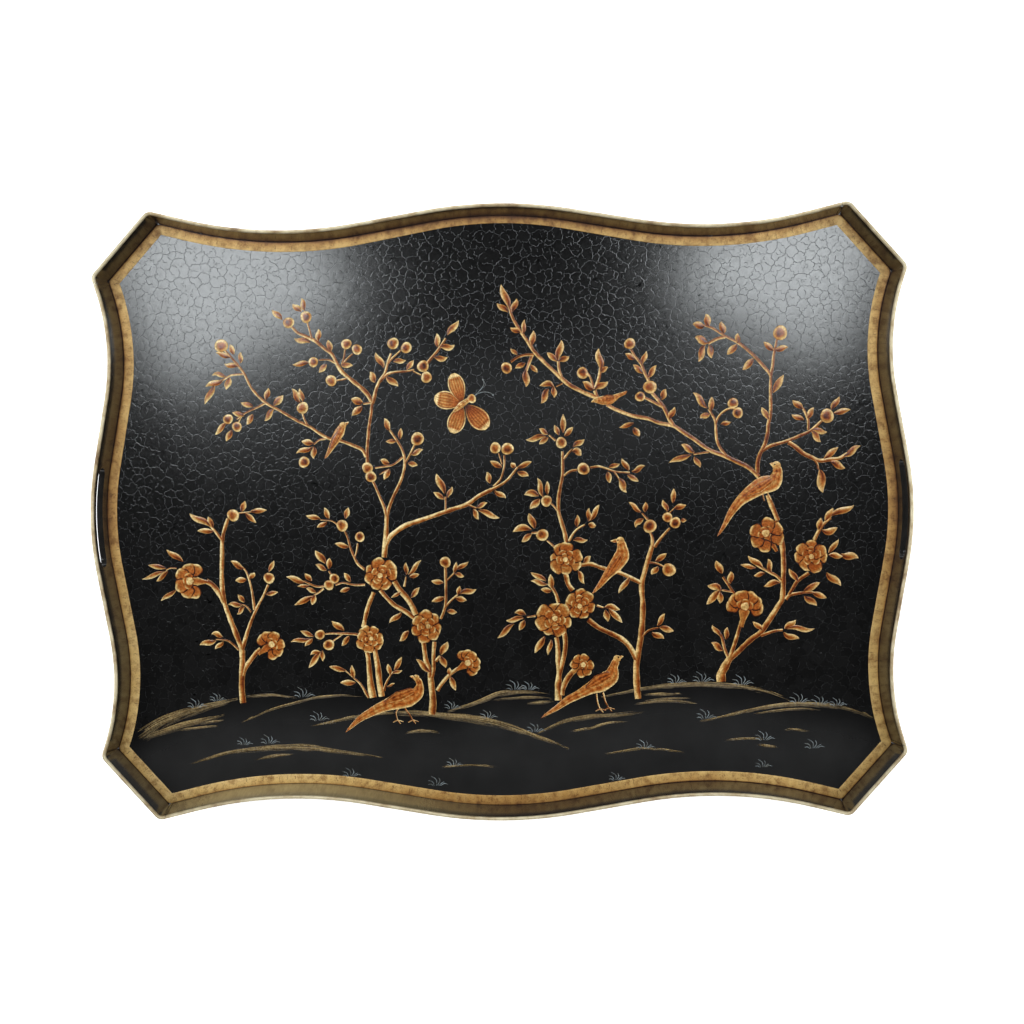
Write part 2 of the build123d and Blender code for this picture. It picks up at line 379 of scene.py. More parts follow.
# A stem is its first and last width, then its points. A leaf is its base, its tip, its width and
# sometimes its arch. A berry is its middle and radius. A fan blossom also has its base.
LEFT_SHRUB = {
    "stems": [
        (6, 5, [(-239, -173), (-240, -158), (-239, -140), (-239, -124)]),
        (5, 3, [(-239, -124), (-244, -110), (-250, -94), (-255, -78), (-256.5, -60), (-256, -40),
                (-255, -20), (-250, -3)]),
        (3.5, 2, [(-239, -124), (-233, -105), (-226, -88), (-218, -73), (-214, -64)]),
        (2.5, 1.5, [(-227, -87), (-229, -70), (-233, -54), (-237, -48)]),
        (4, 4, [(-239, -148), (-236, -140), (-227, -128), (-222, -123)]),
        (2, 1, [(-242, -124), (-247, -119), (-253, -115), (-263, -114)]),
        (2, 1, [(-230, -89), (-234, -84), (-238, -82)]),
        (4.5, 4.5, [(-255, -80), (-259, -72), (-265, -64), (-271, -60)]),
        (1.5, 1, [(-298, -48), (-304, -48), (-308, -50)]),
        (3, 1.5, [(-256, -22), (-260, -17), (-264, -12), (-268, -8)]),
        (1.5, 1, [(-250, -3), (-241, 1.5), (-228, 3)]),
    ],
    "leaves": [
        (-236, -49, -248, -42, 5), (-234, -59, -244, -60, 5), (-231, -58, -226, -53, 4.5),
        (-213, -52, -208, -42, 4), (-216, -73, -205, -71, 4), (-263, -115, -278, -119, 5),
        (-257, -112, -267, -109, 4.5, 1.5), (-256, -116, -264, -123, 4), (-238, -82, -251, -82, 4.5),
        (-236, -80, -242, -73, 4.5), (-236, -84, -243, -91, 4), (-292, -42, -307, -31, 5),
        (-308, -48, -324, -45, 4.5), (-309, -51, -330, -58, 4), (-306, -51, -317, -60, 4),
        (-299, -68, -313, -78, 4), (-266, -10, -285, 2, 5.5), (-264, -11, -268, -1, 4.5),
        (-263, -14, -278, -14, 4.5), (-229, 3.5, -214, 4.5, 4.5), (-237, 3, -234, 13, 5),
        (-234, 2, -224, -7, 4.5),
    ],
    "berries": [(-245, 0, 5.5), (-213, -58, 5)],
    "fans": [(-213, -120, 13.5, -224, -128, 1.9), (-284, -60, 16.5, -269, -61, 1.8)],
}

TWIN_SHRUB = {
    "stems": [
        (6.5, 4, [(-119, -169), (-121, -158), (-122, -145), (-123, -132), (-124, -127)]),
        (6, 4, [(-111, -168), (-113, -155), (-114, -142), (-116, -130), (-117, -120)]),
        (4, 4, [(-127, -104), (-125, -95), (-122, -84), (-117, -72)]),
        (2.5, 1.5, [(-131, -111), (-138, -110), (-155, -109.5), (-162, -110)]),
        (1.5, 1.5, [(-146, -110), (-150, -113), (-156, -117)]),
        (2.5, 1, [(-123, -169), (-126, -164), (-130, -157), (-135, -152), (-145, -143)]),
        (2.5, 1, [(-109, -163), (-107, -156), (-103, -149), (-100, -145)]),
        (5, 3.5, [(-107, -40), (-106, -30), (-105, -20), (-104, -2)]),
        (3, 2, [(-104, -3), (-106, 5), (-110, 15), (-114, 25), (-117, 31)]),
        (3, 2, [(-104, -3), (-102, 5), (-98, 15), (-93, 25), (-89, 35), (-87, 45), (-88, 55), (-92, 64),
                (-100, 76)]),
        (4.5, 3.5, [(-106, -30), (-102, -22), (-95, -16), (-87, -11), (-75, -7), (-60, -2), (-45, 3),
                    (-30, 8), (-20, 15), (-8, 21)]),
        (2, 1.5, [(-50, 2), (-50, 15)]),
        (2, 1.5, [(-88, 52), (-94, 47), (-100, 44), (-114, 42)]),
        (1.5, 1, [(-103, 40), (-110, 36)]),
        (2, 1.5, [(-86, 47), (-83, 52), (-80, 58), (-77, 64)]),
        (3, 2.5, [(-121, 46), (-121, 60), (-120, 70), (-119, 80), (-117, 92), (-116, 101)]),
        (3, 2, [(-122, 52), (-125, 58), (-130, 61), (-145, 67), (-155, 69), (-163, 73), (-173, 80),
                (-185, 86), (-200, 95), (-214, 103), (-226, 116), (-233, 130), (-243, 143), (-250, 151)]),
        (2, 1.5, [(-159, 69), (-165, 68), (-170, 64)]),
        (2, 1.5, [(-175, 81), (-178, 87), (-180, 93)]),
        (2.5, 1.5, [(-125, -51), (-131, -46), (-135, -38), (-138, -30), (-140, -22), (-143, -15)]),
        (1.5, 1.5, [(-134, -40), (-132, -33), (-131, -27)]),
        (1.5, 1, [(-150, -9), (-155, -6), (-165, -5)]),
        (2, 1.5, [(-125, -65), (-135, -65), (-145, -63), (-152, -65)]),
        (1.5, 1.5, [(-156, -55), (-158, -52)]),
        (2, 1.5, [(-162, -66), (-170, -66), (-181, -61)]),
        (2, 1.5, [(-163, -68), (-168, -72), (-172, -74)]),
        (2, 1.5, [(-232, 129), (-244, 128), (-250, 125), (-257, 120)]),
        (2, 1.5, [(-214, 102), (-221, 98.6), (-231, 94), (-240, 88)]),
        (1.5, 1, [(-236, 90), (-239, 84)]),
        (2.5, 2, [(-8, 21), (0, 25), (7, 30), (12, 36), (16, 41)]),
        (2, 1.5, [(-6, 24), (0, 30), (3, 38), (4, 44), (4, 52)]),
        (1.5, 1, [(2, 44), (-1, 54)]),
        (2, 1.5, [(-31, 8), (-22, 4)]),
    ],
    "leaves": [
        (-145, -107, -156, -98, 5.5), (-140, -112, -147, -121, 4.5), (-173, -112, -185, -107, 4.5),
        (-176, -114, -194, -117, 4), (-174, -114, -181, -121, 4), (-166, -127, -176, -129, 4, 1.5),
        (-167, -127, -178, -141, 5), (-165, -125, -165, -135, 4), (-144, -144, -159, -140, 4.5),
        (-137, -151, -138, -139, 4), (-135, -155, -149, -155, 5), (-103, -148, -105, -138, 4),
        (-99, -144, -92, -132, 4.5), (-101, -147, -92, -144, 3), (-106, -159, -99, -156, 2),
        (-51, 18, -58, 36, 6), (-51, 13, -61, 19, 4.5), (-48, 14, -44, 24, 4),
        (-100, 76, -105, 87, 5), (-94, 66, -104, 66, 4), (-91, 68, -90, 78, 4),
        (-101, 46, -109, 49, 5), (-101, 41, -106, 31, 5), (-81, 54, -70, 58, 4.5),
        (-84, 46, -75, 44, 4.5), (-170, 65, -181, 67, 5.5), (-171, 62, -186, 56, 4.5),
        (-170, 62, -170, 51, 5), (-181.5, 102.5, -189, 115, 5), (-179, 103, -182, 115, 4.5),
        (-139, -30, -152, -27, 4.5), (-142, -4, -139, 6, 5), (-165, -4, -178, -1, 4.5),
        (-157, -4, -161, 6, 4.5), (-159, -7, -168, -12, 4), (-138, -62, -144, -54, 4.5),
        (-139, -68, -148, -71, 4), (-161, -45, -170, -33, 6), (-158, -50, -157, -40, 5),
        (-160, -51, -170, -46, 4.5), (-180, -62, -197, -57, 5), (-174, -61, -180, -54, 4.5),
        (-176, -65, -187, -66, 3), (-170, -71, -179, -68, 4), (-173, -75, -190, -83, 5),
        (-171, -74, -174, -83, 5), (-241.5, 147, -245, 156, 4.5), (-245, 144.5, -258, 149, 4.5),
        (-236, 139, -235, 149, 4), (-238, 135.5, -250.5, 138.5, 4.5), (-249, 127, -262, 128, 4, 1.5),
        (-252, 124, -268, 118, 5), (-260, 119, -269, 102, 5), (-246, 126, -249, 115, 5.5),
        (-213, 105, -210.5, 116, 5), (-206, 100, -197, 109, 6), (-206, 97, -214.5, 86, 5),
        (-225, 99, -236, 103, 4.5), (-233, 91, -244, 94, 4.5), (-225, 92, -231, 83, 5),
        (-250, 85, -260, 74, 4.5), (-245, 78, -250, 68, 5), (14, 41, 10, 45, 4.5), (16, 41, 29, 46, 4.5),
        (16, 37, 26, 33, 5), (-9, 27, -12, 37, 5), (-5, 20, 5, 13, 4.5), (2, 41, -9, 47, 5),
        (-22, 5, -12, 9, 4), (-20, 2, -1, -5, 5), (-25, 3, -20, -6, 4.5),
    ],
    "berries": [
        (-167, -110.5, 4.5), (-159, -120, 5), (-118, 34, 5), (-121, 42, 5), (-75, 68, 6), (-253, 155, 6),
        (-179, 48, 5), (-179.5, 97.5, 5.3), (-145, -10.5, 5.3), (-129, -21, 4.5), (-153, -59, 4.5),
        (-158, -65, 4.5), (-248, 88, 4.5), (-240, 81, 4.5), (7, 58, 5.5), (-4, 59, 5),
    ],
    "peonies": [(-121, -115, 13), (-110, -56, 16)],
}

CROWN_BRANCHES = {
    "stems": [
        (4, 2.5, [(-116, 101), (-118.6, 107), (-124.5, 114), (-137.6, 125), (-144, 131), (-148, 138),
                  (-152, 146), (-159, 151.5), (-166, 157.5), (-174.5, 162), (-183, 166), (-188, 171)]),
        (2, 1.5, [(-170, 160), (-172, 168), (-174, 175)]),
        (2, 1.5, [(-149, 138), (-155.5, 141), (-164, 141)]),
        (2, 1.5, [(-143, 136), (-141, 142.6), (-140, 150)]),
        (2, 1.5, [(-143, 136), (-137.6, 142), (-133, 146)]),
        (1.5, 1.5, [(-148, 122), (-139, 123.6)]),
        (3.5, 2, [(-116, 101), (-114, 106), (-112, 114), (-109, 120.6), (-104, 128), (-101, 138),
                  (-98, 146)]),
        (2, 1.5, [(-101, 137), (-96, 142.6), (-89, 148.6)]),
        (2.5, 1.5, [(-108, 121), (-102, 127), (-95, 129), (-85, 129.5), (-77, 131)]),
        (1.5, 1, [(-78, 129.5), (-71, 126)]),
        (2.5, 2, [(-65, 137), (-59, 144), (-54, 150), (-48, 159)]),
        (2, 1.5, [(-117, 101.5), (-124, 100.4)]),
    ],
    "leaves": [
        (-197, 178, -206, 187, 5), (-179.5, 185, -187, 192, 5), (-176, 186, -179, 197, 4.5),
        (-164, 158, -164, 169, 5), (-153, 149, -155, 159, 5), (-171.5, 157, -186, 160.5, 5),
        (-173, 138.5, -188, 137, 4.5), (-157, 137, -164, 129.5, 5), (-144, 136, -133, 135.5, 4.5),
        (-105, 133, -112, 147, 5), (-96, 138.5, -84.6, 139.6, 4.5), (-112.6, 120, -117.4, 129.5, 5.5),
        (-102.5, 125, -92, 116, 5.5), (-84, 131, -77.5, 139.6, 4.5), (-46.5, 162, -36, 175, 5.5),
        (-55, 151, -56, 163.5, 5), (-53, 151.5, -40, 153, 5.5, -1.5), (-58.5, 142, -46.5, 142, 5, -1.5),
        (-124.5, 101.5, -135, 105, 6.5), (-125, 98.6, -134.6, 90, 6),
    ],
    "berries": [
        (-191, 175, 5), (-175, 180, 5.2), (-169, 139, 4.5), (-138.6, 155, 4.7), (-129, 150, 4.7),
        (-153, 122, 5), (-96, 155, 5.2), (-84, 151, 5), (-69, 134, 5.3), (-66, 124, 5),
    ],
}

MIDDLE_SHRUB = {
    # Painted shade: this plant is darkened as if less light reached it.
    "glaze_and_shade": PAINTED_SHADE_DIMMING,
    "stems": [
        (7, 5, [(-65, -185), (-64, -172), (-65, -160), (-66, -150)]),
        (4.5, 4.5, [(-66, -151), (-67, -143), (-70, -135), (-72, -118)]),
        (3.5, 3.5, [(-65, -151), (-63, -143), (-63, -130), (-62, -118)]),
        (3.5, 2, [(-61, -136), (-57, -131)]),
        (3.5, 3, [(-60, -163), (-56, -157), (-50, -150), (-44, -145), (-38, -141)]),
        (4, 4, [(-80, -96), (-88, -90), (-98, -84), (-106, -76), (-111, -70)]),
        (5, 5, [(-79, -93), (-82, -85), (-87, -77), (-93, -70), (-98, -62)]),
        (2, 1.5, [(-89, -67), (-87, -58)]),
        (2.5, 2.5, [(-56, -97), (-53, -90), (-51, -80), (-51, -50)]),
        (2, 1.5, [(-53, -88), (-48, -82), (-44, -78), (-40, -75)]),
        (1.5, 1.5, [(-50, -62), (-46, -58), (-43, -55)]),
    ],
    "leaves": [
        (-66, -146, -79, -134, 5), (-56, -130, -50, -118, 6), (-56, -131, -52, -142, 5.5),
        (-49, -149, -48, -142, 4), (-48, -150, -43, -163, 5), (-92, -91, -103, -100, 4.5),
        (-85, -108, -94, -117, 5), (-92, -72, -101, -77, 3), (-83, -77, -75, -68, 4.5),
        (-87, -56, -87, -45, 4), (-85, -56, -73, -43, 4), (-84, -58, -75, -56, 4),
        (-52, -77, -64, -81, 4.5), (-53, -64, -64, -62, 4.5), (-42, -78, -32, -80, 5),
        (-38, -74, -23, -70, 5), (-40, -75, -38, -67, 4), (-50, -90, -41, -91, 4.5),
        (-43, -55, -41, -45, 3.5), (-41, -52, -30, -45, 4), (-42, -56, -34, -58, 4),
    ],
    "berries": [(-51, -45, 5)],
    "fans": [(-33, -138.5, 13, -42, -144, 1.4)],
    "peonies": [(-69, -104, 15)],
}

CENTRE_SHRUB = {
    # Painted shade: this plant is darkened as if less light reached it.
    "glaze_and_shade": PAINTED_SHADE_DIMMING,
    "stems": [
        (7, 5, [(51, -173), (51, -160), (52, -148)]),
        (4, 4, [(52, -149), (51, -138), (51, -125), (50, -115)]),
        (4, 4, [(52, -150), (54, -142), (57, -130), (58, -120), (57, -110)]),
        (2, 1.5, [(31, -95), (23, -96)]),
        (4.5, 4.5, [(54, -168), (56, -160), (60, -152), (66, -145)]),
        (2, 1.5, [(87, -86), (93, -88)]),
        (4.5, 4.5, [(79, -99), (88, -106), (98, -111), (108, -116), (115, -122), (120, -130),
                    (123, -137)]),
        (3, 3, [(52, -83), (50, -76), (47, -70), (43, -65)]),
        (4.5, 4.5, [(59, -57), (61, -66), (65, -72)]),
        (4, 2.5, [(60, -28), (58, -18), (55, -8), (53, 0), (53, 12), (55, 24), (57, 35), (57, 55)]),
        (2, 1.5, [(53, 0), (49, 5), (46, 8)]),
        (2.5, 1.5, [(49, -32), (42, -26)]),
        (2, 1.5, [(33, -19), (28, -19)]),
        (2.5, 1.5, [(62, -27), (66, -20), (71, -15), (77, -12)]),
        (2, 1.5, [(51, 65), (45, 70)]),
        (2, 1.5, [(58, 48), (62, 53), (66, 57)]),
        (2, 2, [(58, 33), (64, 37), (70, 38)]),
        (2, 1.5, [(82, 40), (90, 41), (97, 39), (105, 36), (118, 35)]),
        (1.5, 1.5, [(104, 36), (108, 30)]),
        (3.5, 3.5, [(73, -49), (82, -48), (90, -51), (100, -54), (110, -57), (120, -62), (128, -66)]),
    ],
    "leaves": [
        (39, -114, 30, -129, 5.5), (45, -117, 42, -131, 4), (22, -94, 12, -92, 5, 1.5),
        (20, -97, 4, -99, 4.5), (11, -102, -4, -115, 5), (21, -99, 16, -108, 5),
        (94, -88, 108, -90, 5, 1.5), (98, -89, 110, -102, 5), (95, -90, 97, -101, 5.5),
        (46, -72, 36, -71, 4.5), (46, -70, 45, -57, 5), (42, -66, 27, -63, 4.5), (41, -63, 27, -55, 4.5),
        (39, 14, 34, 31, 4.5), (43, 16, 43, 28, 4), (35, 15, 22, 16, 6, 2), (36, 12, 27, 3, 6),
        (28, -20, 19, -27, 5), (28, -16, 11, -18, 6, 3), (31, -15, 26, -1, 6), (70, -14, 70, -3, 4.5),
        (80, -9, 81, 3, 4.5), (82, -8, 90, 6, 4.5), (80, -12, 87, -13, 5), (66, -26, 79, -26, 4.5),
        (44, 71, 36, 76, 4.5), (42, 69, 24, 66, 5), (44, 68, 36, 62, 4.5), (54, 70, 50, 79, 4.5),
        (58, 72, 58, 89, 5), (59, 69, 67, 77, 4.5), (67, 59, 77, 66, 5), (66, 55, 74, 51, 6, 2),
        (99, 40, 109, 43, 4), (98, 36, 100, 26, 5), (117, 37, 111, 48, 4.5), (120, 36, 132, 41, 4.5),
        (116, 33, 126, 27, 4.5), (108, 30, 115, 17, 6), (75, -47, 82, -41, 5), (70, -54, 76, -66, 4.5),
        (117, -60, 107, -75, 4.5),
    ],
    "berries": [(56, 63, 5), (42, 10, 5), (38, -21, 5.5), (76, 39, 5.5)],
    "fans": [(73, -141, 11, 64, -148, 2.3)],
    "peonies": [(48, -99, 17), (72, -85, 15), (59, -43, 15.5)],
}

SLENDER_SHRUB = {
    "glaze_and_shade": RUST_GLAZE,
    "stems": [
        (6, 4, [(124, -172), (123, -160), (122.5, -148), (123, -138), (127, -115), (128.5, -100),
                (129, -85), (128, -68), (131, -55), (134, -45), (138, -32)]),
        (2, 1.5, [(128, -115), (133, -110), (138, -108), (143, -107)]),
        (3, 2, [(138, -32), (138, -25), (136, -19)]),
        (2, 1.5, [(134, -8), (129, -2)]),
        (3, 2, [(140, -33), (145, -26), (150, -20), (154, -16)]),
        (2, 1.5, [(135, -47), (142, -48), (148, -51)]),
        (1.5, 1, [(154, -2), (158, 2)]),
    ],
    "leaves": [
        (142, -105, 149, -94, 4.5), (144, -106.5, 157, -110, 5.5), (137, -111, 148, -117, 5),
        (128, -1, 117, 8, 4), (132, -1, 132, 8, 4.5), (130, -7, 123, -15, 5, 1.5),
        (152, -1, 148, 10, 4.5), (157, 7, 158, 20, 4.5), (158, 2, 169, 5, 5), (164, -9, 169, -9, 3.5),
        (141, -46, 151, -39, 5), (143, -51, 137, -58, 5),
    ],
    "berries": [(136, -14, 6), (152, -6, 4.5), (159, -11, 5), (153, -54, 6)],
}

HIGH_BRANCH = {
    "glaze_and_shade": RUST_GLAZE,
    "stems": [
        (4, 2.5, [(88, 104), (80, 107), (70, 112), (62, 117), (50, 128), (34, 144), (26, 156), (21, 163),
                  (13, 177), (10, 187)]),
        (2.5, 2, [(32, 143), (24, 143), (17, 141), (11, 137)]),
        (3, 2.5, [(30, 142), (27, 134), (25, 129)]),
        (3, 2.5, [(58, 120), (55, 128), (54, 137)]),
        (1.2, 1, [(58, 117), (52, 114)]),
        (3, 3, [(90, 102), (87, 110)]),
        (3, 2.5, [(87, 111), (91, 122), (92, 130)]),
        (2, 2, [(86, 112), (83, 122), (80, 126)]),
        (4, 3, [(158, 77), (154, 84), (150, 93), (145, 100), (139, 107)]),
        (3, 2, [(136, 118), (133, 124), (129, 134), (124, 140), (120, 147)]),
        (3, 2, [(150, 94), (140, 99), (132, 103)]),
        (4, 3, [(235, 30), (225, 39), (213, 45), (203, 50), (192, 54), (183, 60), (175, 66), (166, 72),
                (158, 77), (145, 80), (135, 84), (120, 87), (105, 93), (98, 97)]),
        (2, 1.5, [(190, 53), (182, 52), (176, 51)]),
        (3, 2, [(205, 50), (200, 57), (197, 65), (196, 80), (193, 87), (190, 92)]),
        (2, 1.5, [(196, 78), (199, 85), (204, 90), (210, 92.5), (216, 91)]),
    ],
    "leaves": [
        (10, 185, 3, 207, 6), (9, 182, -1, 190, 5), (13, 182, 17, 194, 5), (20, 163, 11, 168, 4.5),
        (22, 162, 24, 175, 4), (30, 151, 32, 165, 5.5), (17, 143, 11, 149, 3.5), (24, 136, 15, 131, 4.5),
        (25, 130, 24.5, 114, 6), (29, 134, 35, 127, 4), (54, 138, 57, 156, 6), (53, 137, 44, 145, 5),
        (55, 137, 64, 141, 5), (50, 113, 37, 115, 5, 3), (45, 112, 38, 99, 5.5), (50, 114, 50, 104, 5),
        (86, 111, 76, 118, 6), (87, 111, 99, 118, 5.5), (92, 128, 91, 148, 6), (92, 127, 99, 131, 4),
        (124, 138, 115, 143, 5), (130, 133, 134, 145, 4.5), (131, 125, 122, 133, 5),
        (135, 121, 143, 132, 5), (147, 101, 151.5, 110.5, 5.5), (154.5, 83, 159, 94, 5),
        (122, 80, 109, 76, 4), (122, 76, 127, 68, 5.5), (177, 53, 165, 60, 5.5), (174, 51, 154, 44, 5),
        (177, 49, 182, 39, 4.5), (191, 88, 182, 84, 5), (189, 93, 176, 107, 5.5), (192, 90, 193, 103, 5),
        (201, 78, 210, 80, 4),
    ],
    "berries": [
        (7, 131.5, 5), (119, 152, 5), (137, 112.5, 6), (128, 104, 4.5), (212, 97, 4.8), (216.3, 88.2, 4.8),
        (76, 126, 5.2),
    ],
}

RIGHT_TREE = {
    "glaze_and_shade": RUST_GLAZE,
    "stems": [
        (9, 6, [(200, -157), (200, -150), (204, -142), (208, -135)]),
        (3.5, 3.5, [(207, -138), (213, -120), (216, -110), (219, -101)]),
        (5, 4.5, [(205, -141), (208, -136), (215, -130), (222, -123), (229, -117), (236, -112), (241, -105),
                  (252, -88), (256, -80), (257, -60), (257, -45), (256, -33), (254, -22),
                  (250, -10)]),
        (3, 2, [(236, -115), (248, -111), (256, -110)]),
        (3, 2, [(259, -82), (263, -78), (275, -76), (284, -76)]),
        (3, 3, [(262, -78), (266, -71), (270, -65), (280, -58)]),
        (3, 2.5, [(206, -134), (203, -126), (201, -117), (199, -113)]),
        (2.5, 2, [(215, -79), (210, -73), (206, -67), (202, -61)]),
        (2, 1.5, [(212, -75), (201, -73)]),
        (4.5, 4, [(252, -10), (249, -2), (246, 5), (243, 13)]),
        (3, 2, [(255, -65), (250, -60), (244, -57), (232, -50)]),
        (3.5, 2.5, [(285, -28), (289, -20), (294, -13), (300, -8)]),
        (4, 2.5, [(234, 33), (234, 42), (236, 50), (240, 58), (243, 68), (244, 78), (246, 88),
                  (246, 110), (246.5, 122)]),
        (3, 2, [(246.5, 120), (245, 124), (240, 130), (230, 141), (218, 151), (205, 158), (194, 165),
                (186, 168)]),
        (3, 2, [(246, 121), (248, 130), (249, 140), (250, 144), (252, 154)]),
        (3, 2, [(205, 157), (200, 156), (195, 154), (190, 151)]),
        (3, 2.5, [(239, 54), (246, 58), (260, 62), (275, 68), (283, 72), (292, 80)]),
        (2.5, 2, [(280, 72), (280, 80), (277, 88), (275, 92)]),
        (4, 3, [(262, 61), (268, 57), (275, 51), (283, 47), (290, 44), (300, 45), (308, 46), (315, 50)]),
        (2, 1.5, [(284, 47), (288, 41), (289, 36)]),
    ],
    "leaves": [
        (258, -109, 268, -101, 5), (260, -109, 285, -109, 4.5), (257, -112, 271, -118, 5, -1.5),
        (238, -110, 229, -102, 4.5), (275, -75, 290, -67, 5.5), (276, -79, 287, -88, 5.5),
        (283, -76, 296, -81, 5), (270, -66, 262, -54, 5), (199, -115, 192, -105, 4),
        (204, -118, 206, -107, 4.5), (202, -128, 191, -121, 5.5), (201, -58, 196, -46, 6),
        (209, -67, 209, -56, 5.5), (200, -74, 188, -69, 6, 2), (199, -73, 187, -86, 6),
        (200, -75, 199, -85, 5.5), (238, -53, 225, -42, 5), (232, -53, 218, -50, 4),
        (240, -58, 230, -60, 4), (246, -57, 243, -45, 4.5), (254, -67, 239, -70, 5, 1.5),
        (300, -6, 321, 3, 5.5), (295, -11, 302, 1, 5.5), (289, -19, 291, -8, 5.5),
        (292, -19, 306, -17, 6, -2.5), (298, -40, 307, -28, 4.5), (298, -42, 311, -43, 5),
        (309, -41, 325, -45, 6.5), (296, -58, 309, -70, 6), (244, 82, 238, 93, 5),
        (249, 144, 240, 152, 5), (250, 145, 262, 147, 5), (248, 106, 258, 122, 6),
        (231, 137, 221, 127, 5.5), (216, 151, 217, 160, 4.5), (216, 150, 207, 141, 5.5),
        (204, 160, 202, 171, 5.5), (191, 167, 188, 178, 6), (187, 167, 176, 169, 6),
        (190, 152, 178, 157, 6.5), (187, 150, 181, 135, 5.5), (191, 150, 193, 138, 5.5),
        (275, 91, 266, 99, 5.5), (276, 81, 265, 86, 4.5), (279, 83, 285, 92, 5), (283, 72, 297, 70, 5),
        (283, 71, 291, 61, 5.5), (301, 90, 308, 102, 5), (303, 87, 318, 90, 5),
        (312, 48, 327, 57, 5.5), (294, 46, 307, 56, 5.5), (300, 43, 313, 37, 6), (290, 36, 293, 15, 7.5),
    ],
    "berries": [(255, 160, 6.5), (297, 84.5, 6.3)],
    "fans": [(221.5, -90, 17, 219, -107, 1.45), (242, -23, 16, 251, -38, 2.4)],
    "peonies": [(282, -42.5, 15.8)],
}

PLANTS = {
    "left_shrub": LEFT_SHRUB,
    "twin_shrub": TWIN_SHRUB,
    "crown_branches": CROWN_BRANCHES,
    "middle_shrub": MIDDLE_SHRUB,
    "centre_shrub": CENTRE_SHRUB,
    "slender_shrub": SLENDER_SHRUB,
    "high_branch": HIGH_BRANCH,
    "right_tree": RIGHT_TREE,
}
DRAW = {"stems": stem, "leaves": leaf, "berries": berry, "fans": fan_blossom, "peonies": peony}


def plant_film(name, plant):
    """A plant with its stems first and its full-faced blossoms on top."""
    rng = random.Random(f"{SEED}{name}")
    film = Film("painted_" + name)
    for part, draw in DRAW.items():
        for shape in plant.get(part, []):
            draw(film, rng, *shape)
    # Browns or dims the whole plant; the dimming of the middle plants is painted shade.
    film.glaze_and_shade(plant.get("glaze_and_shade", LIGHT_GLAZE))
    return film


# ---------------------------------------------------------------- birds and butterfly

def feathered(film, rng, points, widths, level, height, scallops=0, darkness=0.0):
    """A tapering feathered form along a line: pale edges, a warm middle and scalloped marks."""
    line = curve_through(points, 0.9)
    run = run_along(line)
    share = run / run[-1]
    known = run_along(points)
    half = np.interp(share, known / known[-1], widths) / 2
    half = half * np.sqrt(np.clip(share / 0.03, 0.05, 1)) * np.sqrt(np.clip((1 - share) / 0.03, 0.05, 1))
    across = np.linspace(-1, 1, 13)
    places = across[None, :]
    tone = 0.48 + 0.44 * np.abs(places) ** 5 - darkness + 0.06 * places
    tone = tone + 0.13 * np.sin(8.5 * places + 1.6 * wander(rng, run, 9.0)[:, None])
    if scallops:
        wave = np.sin(2 * math.pi * (scallops * share[:, None] + 0.3 * np.abs(places)))
        tone = tone + 0.09 * wave * (1 - places ** 2)
    tone = tone + 0.10 * wander(rng, run, 2.5)[:, None]
    ribbon(film, line, half, level, height, ramp(tone, WARM), across)


# A bird is its spine from the head to the tail's tip with the width at each point, its beak's tip,
# its wing from the shoulder to the tip with its width, its legs and the feet that show.
BIRDS = {
    "ground_left": {
        "spine": [(-79, -151), (-76, -157), (-78.5, -165), (-87, -169.5), (-98, -173), (-108, -176.5),
                  (-120, -182), (-132, -189), (-144, -200)],
        "widths": [5.5, 6, 12, 17, 14, 10.5, 8, 5.5, 1.5],
        "beak": (-85, -149.5), "wing": (-82, -163, -109, -174, 9),
        "legs": [[(-95, -178), (-98, -183), (-97, -190)], [(-90, -179), (-85, -186), (-83, -190)]],
        "toes": [(-97, -190), (-83, -190)],
    },
    "small_left": {
        "spine": [(-143, 81), (-146, 75), (-150, 68), (-155, 59), (-159, 52)],
        "widths": [6, 9, 8, 4.5, 2], "beak": (-137.5, 84), "wing": (-146, 76, -155, 60, 4.5),
        "legs": [[(-147, 69), (-145, 66)]],
    },
    "ground_centre": {
        "spine": [(105, -135), (102, -142), (99, -151), (90, -157.5), (80, -162), (70, -167.5),
                  (60, -172.5), (50, -179.5), (36, -188)],
        "widths": [6.5, 7.5, 15, 16, 11, 8, 7, 5, 1.5],
        "beak": (111, -133), "wing": (99, -149, 76, -162, 10),
        "legs": [[(86, -167), (87, -175), (89, -181)], [(92, -166), (94, -174), (97, -180)]],
        "toes": [(89, -181), (97, -180)],
    },
    "perched_centre": {
        "spine": [(109, -27), (110.5, -33), (110, -41), (104, -50), (97, -58), (91, -66), (84, -74)],
        "widths": [7, 9, 14, 12, 8, 5, 2], "beak": (100, -27), "wing": (111, -40, 96, -61, 7),
        "legs": [[(105, -50), (105, -56)], [(108, -50), (109, -56)]],
    },
    "small_centre": {
        "spine": [(88, 101.5), (94, 101), (101, 101.5), (108, 105), (115.5, 108)],
        "widths": [5, 8, 8, 4, 2.5], "beak": (83.5, 99.5), "wing": (93, 102, 105, 104, 4.5),
        "legs": [[(97, 98), (99, 95)]],
    },
    "long_tailed_right": {
        "spine": [(251, 40), (252, 33), (248, 25), (238, 22), (228, 16), (218, 8), (210, -2), (204, -13),
                  (198, -23)],
        "widths": [7.5, 9, 15, 16, 13, 9, 6.5, 4, 1.5],
        "beak": (245, 42), "wing": (247, 27, 222, 12, 9),
        "legs": [[(238, 15), (240, 8)], [(243, 15), (246, 9)]],
    },
}
TOES = [(5.5, -1.5), (3, -3.5), (-4, -2)]


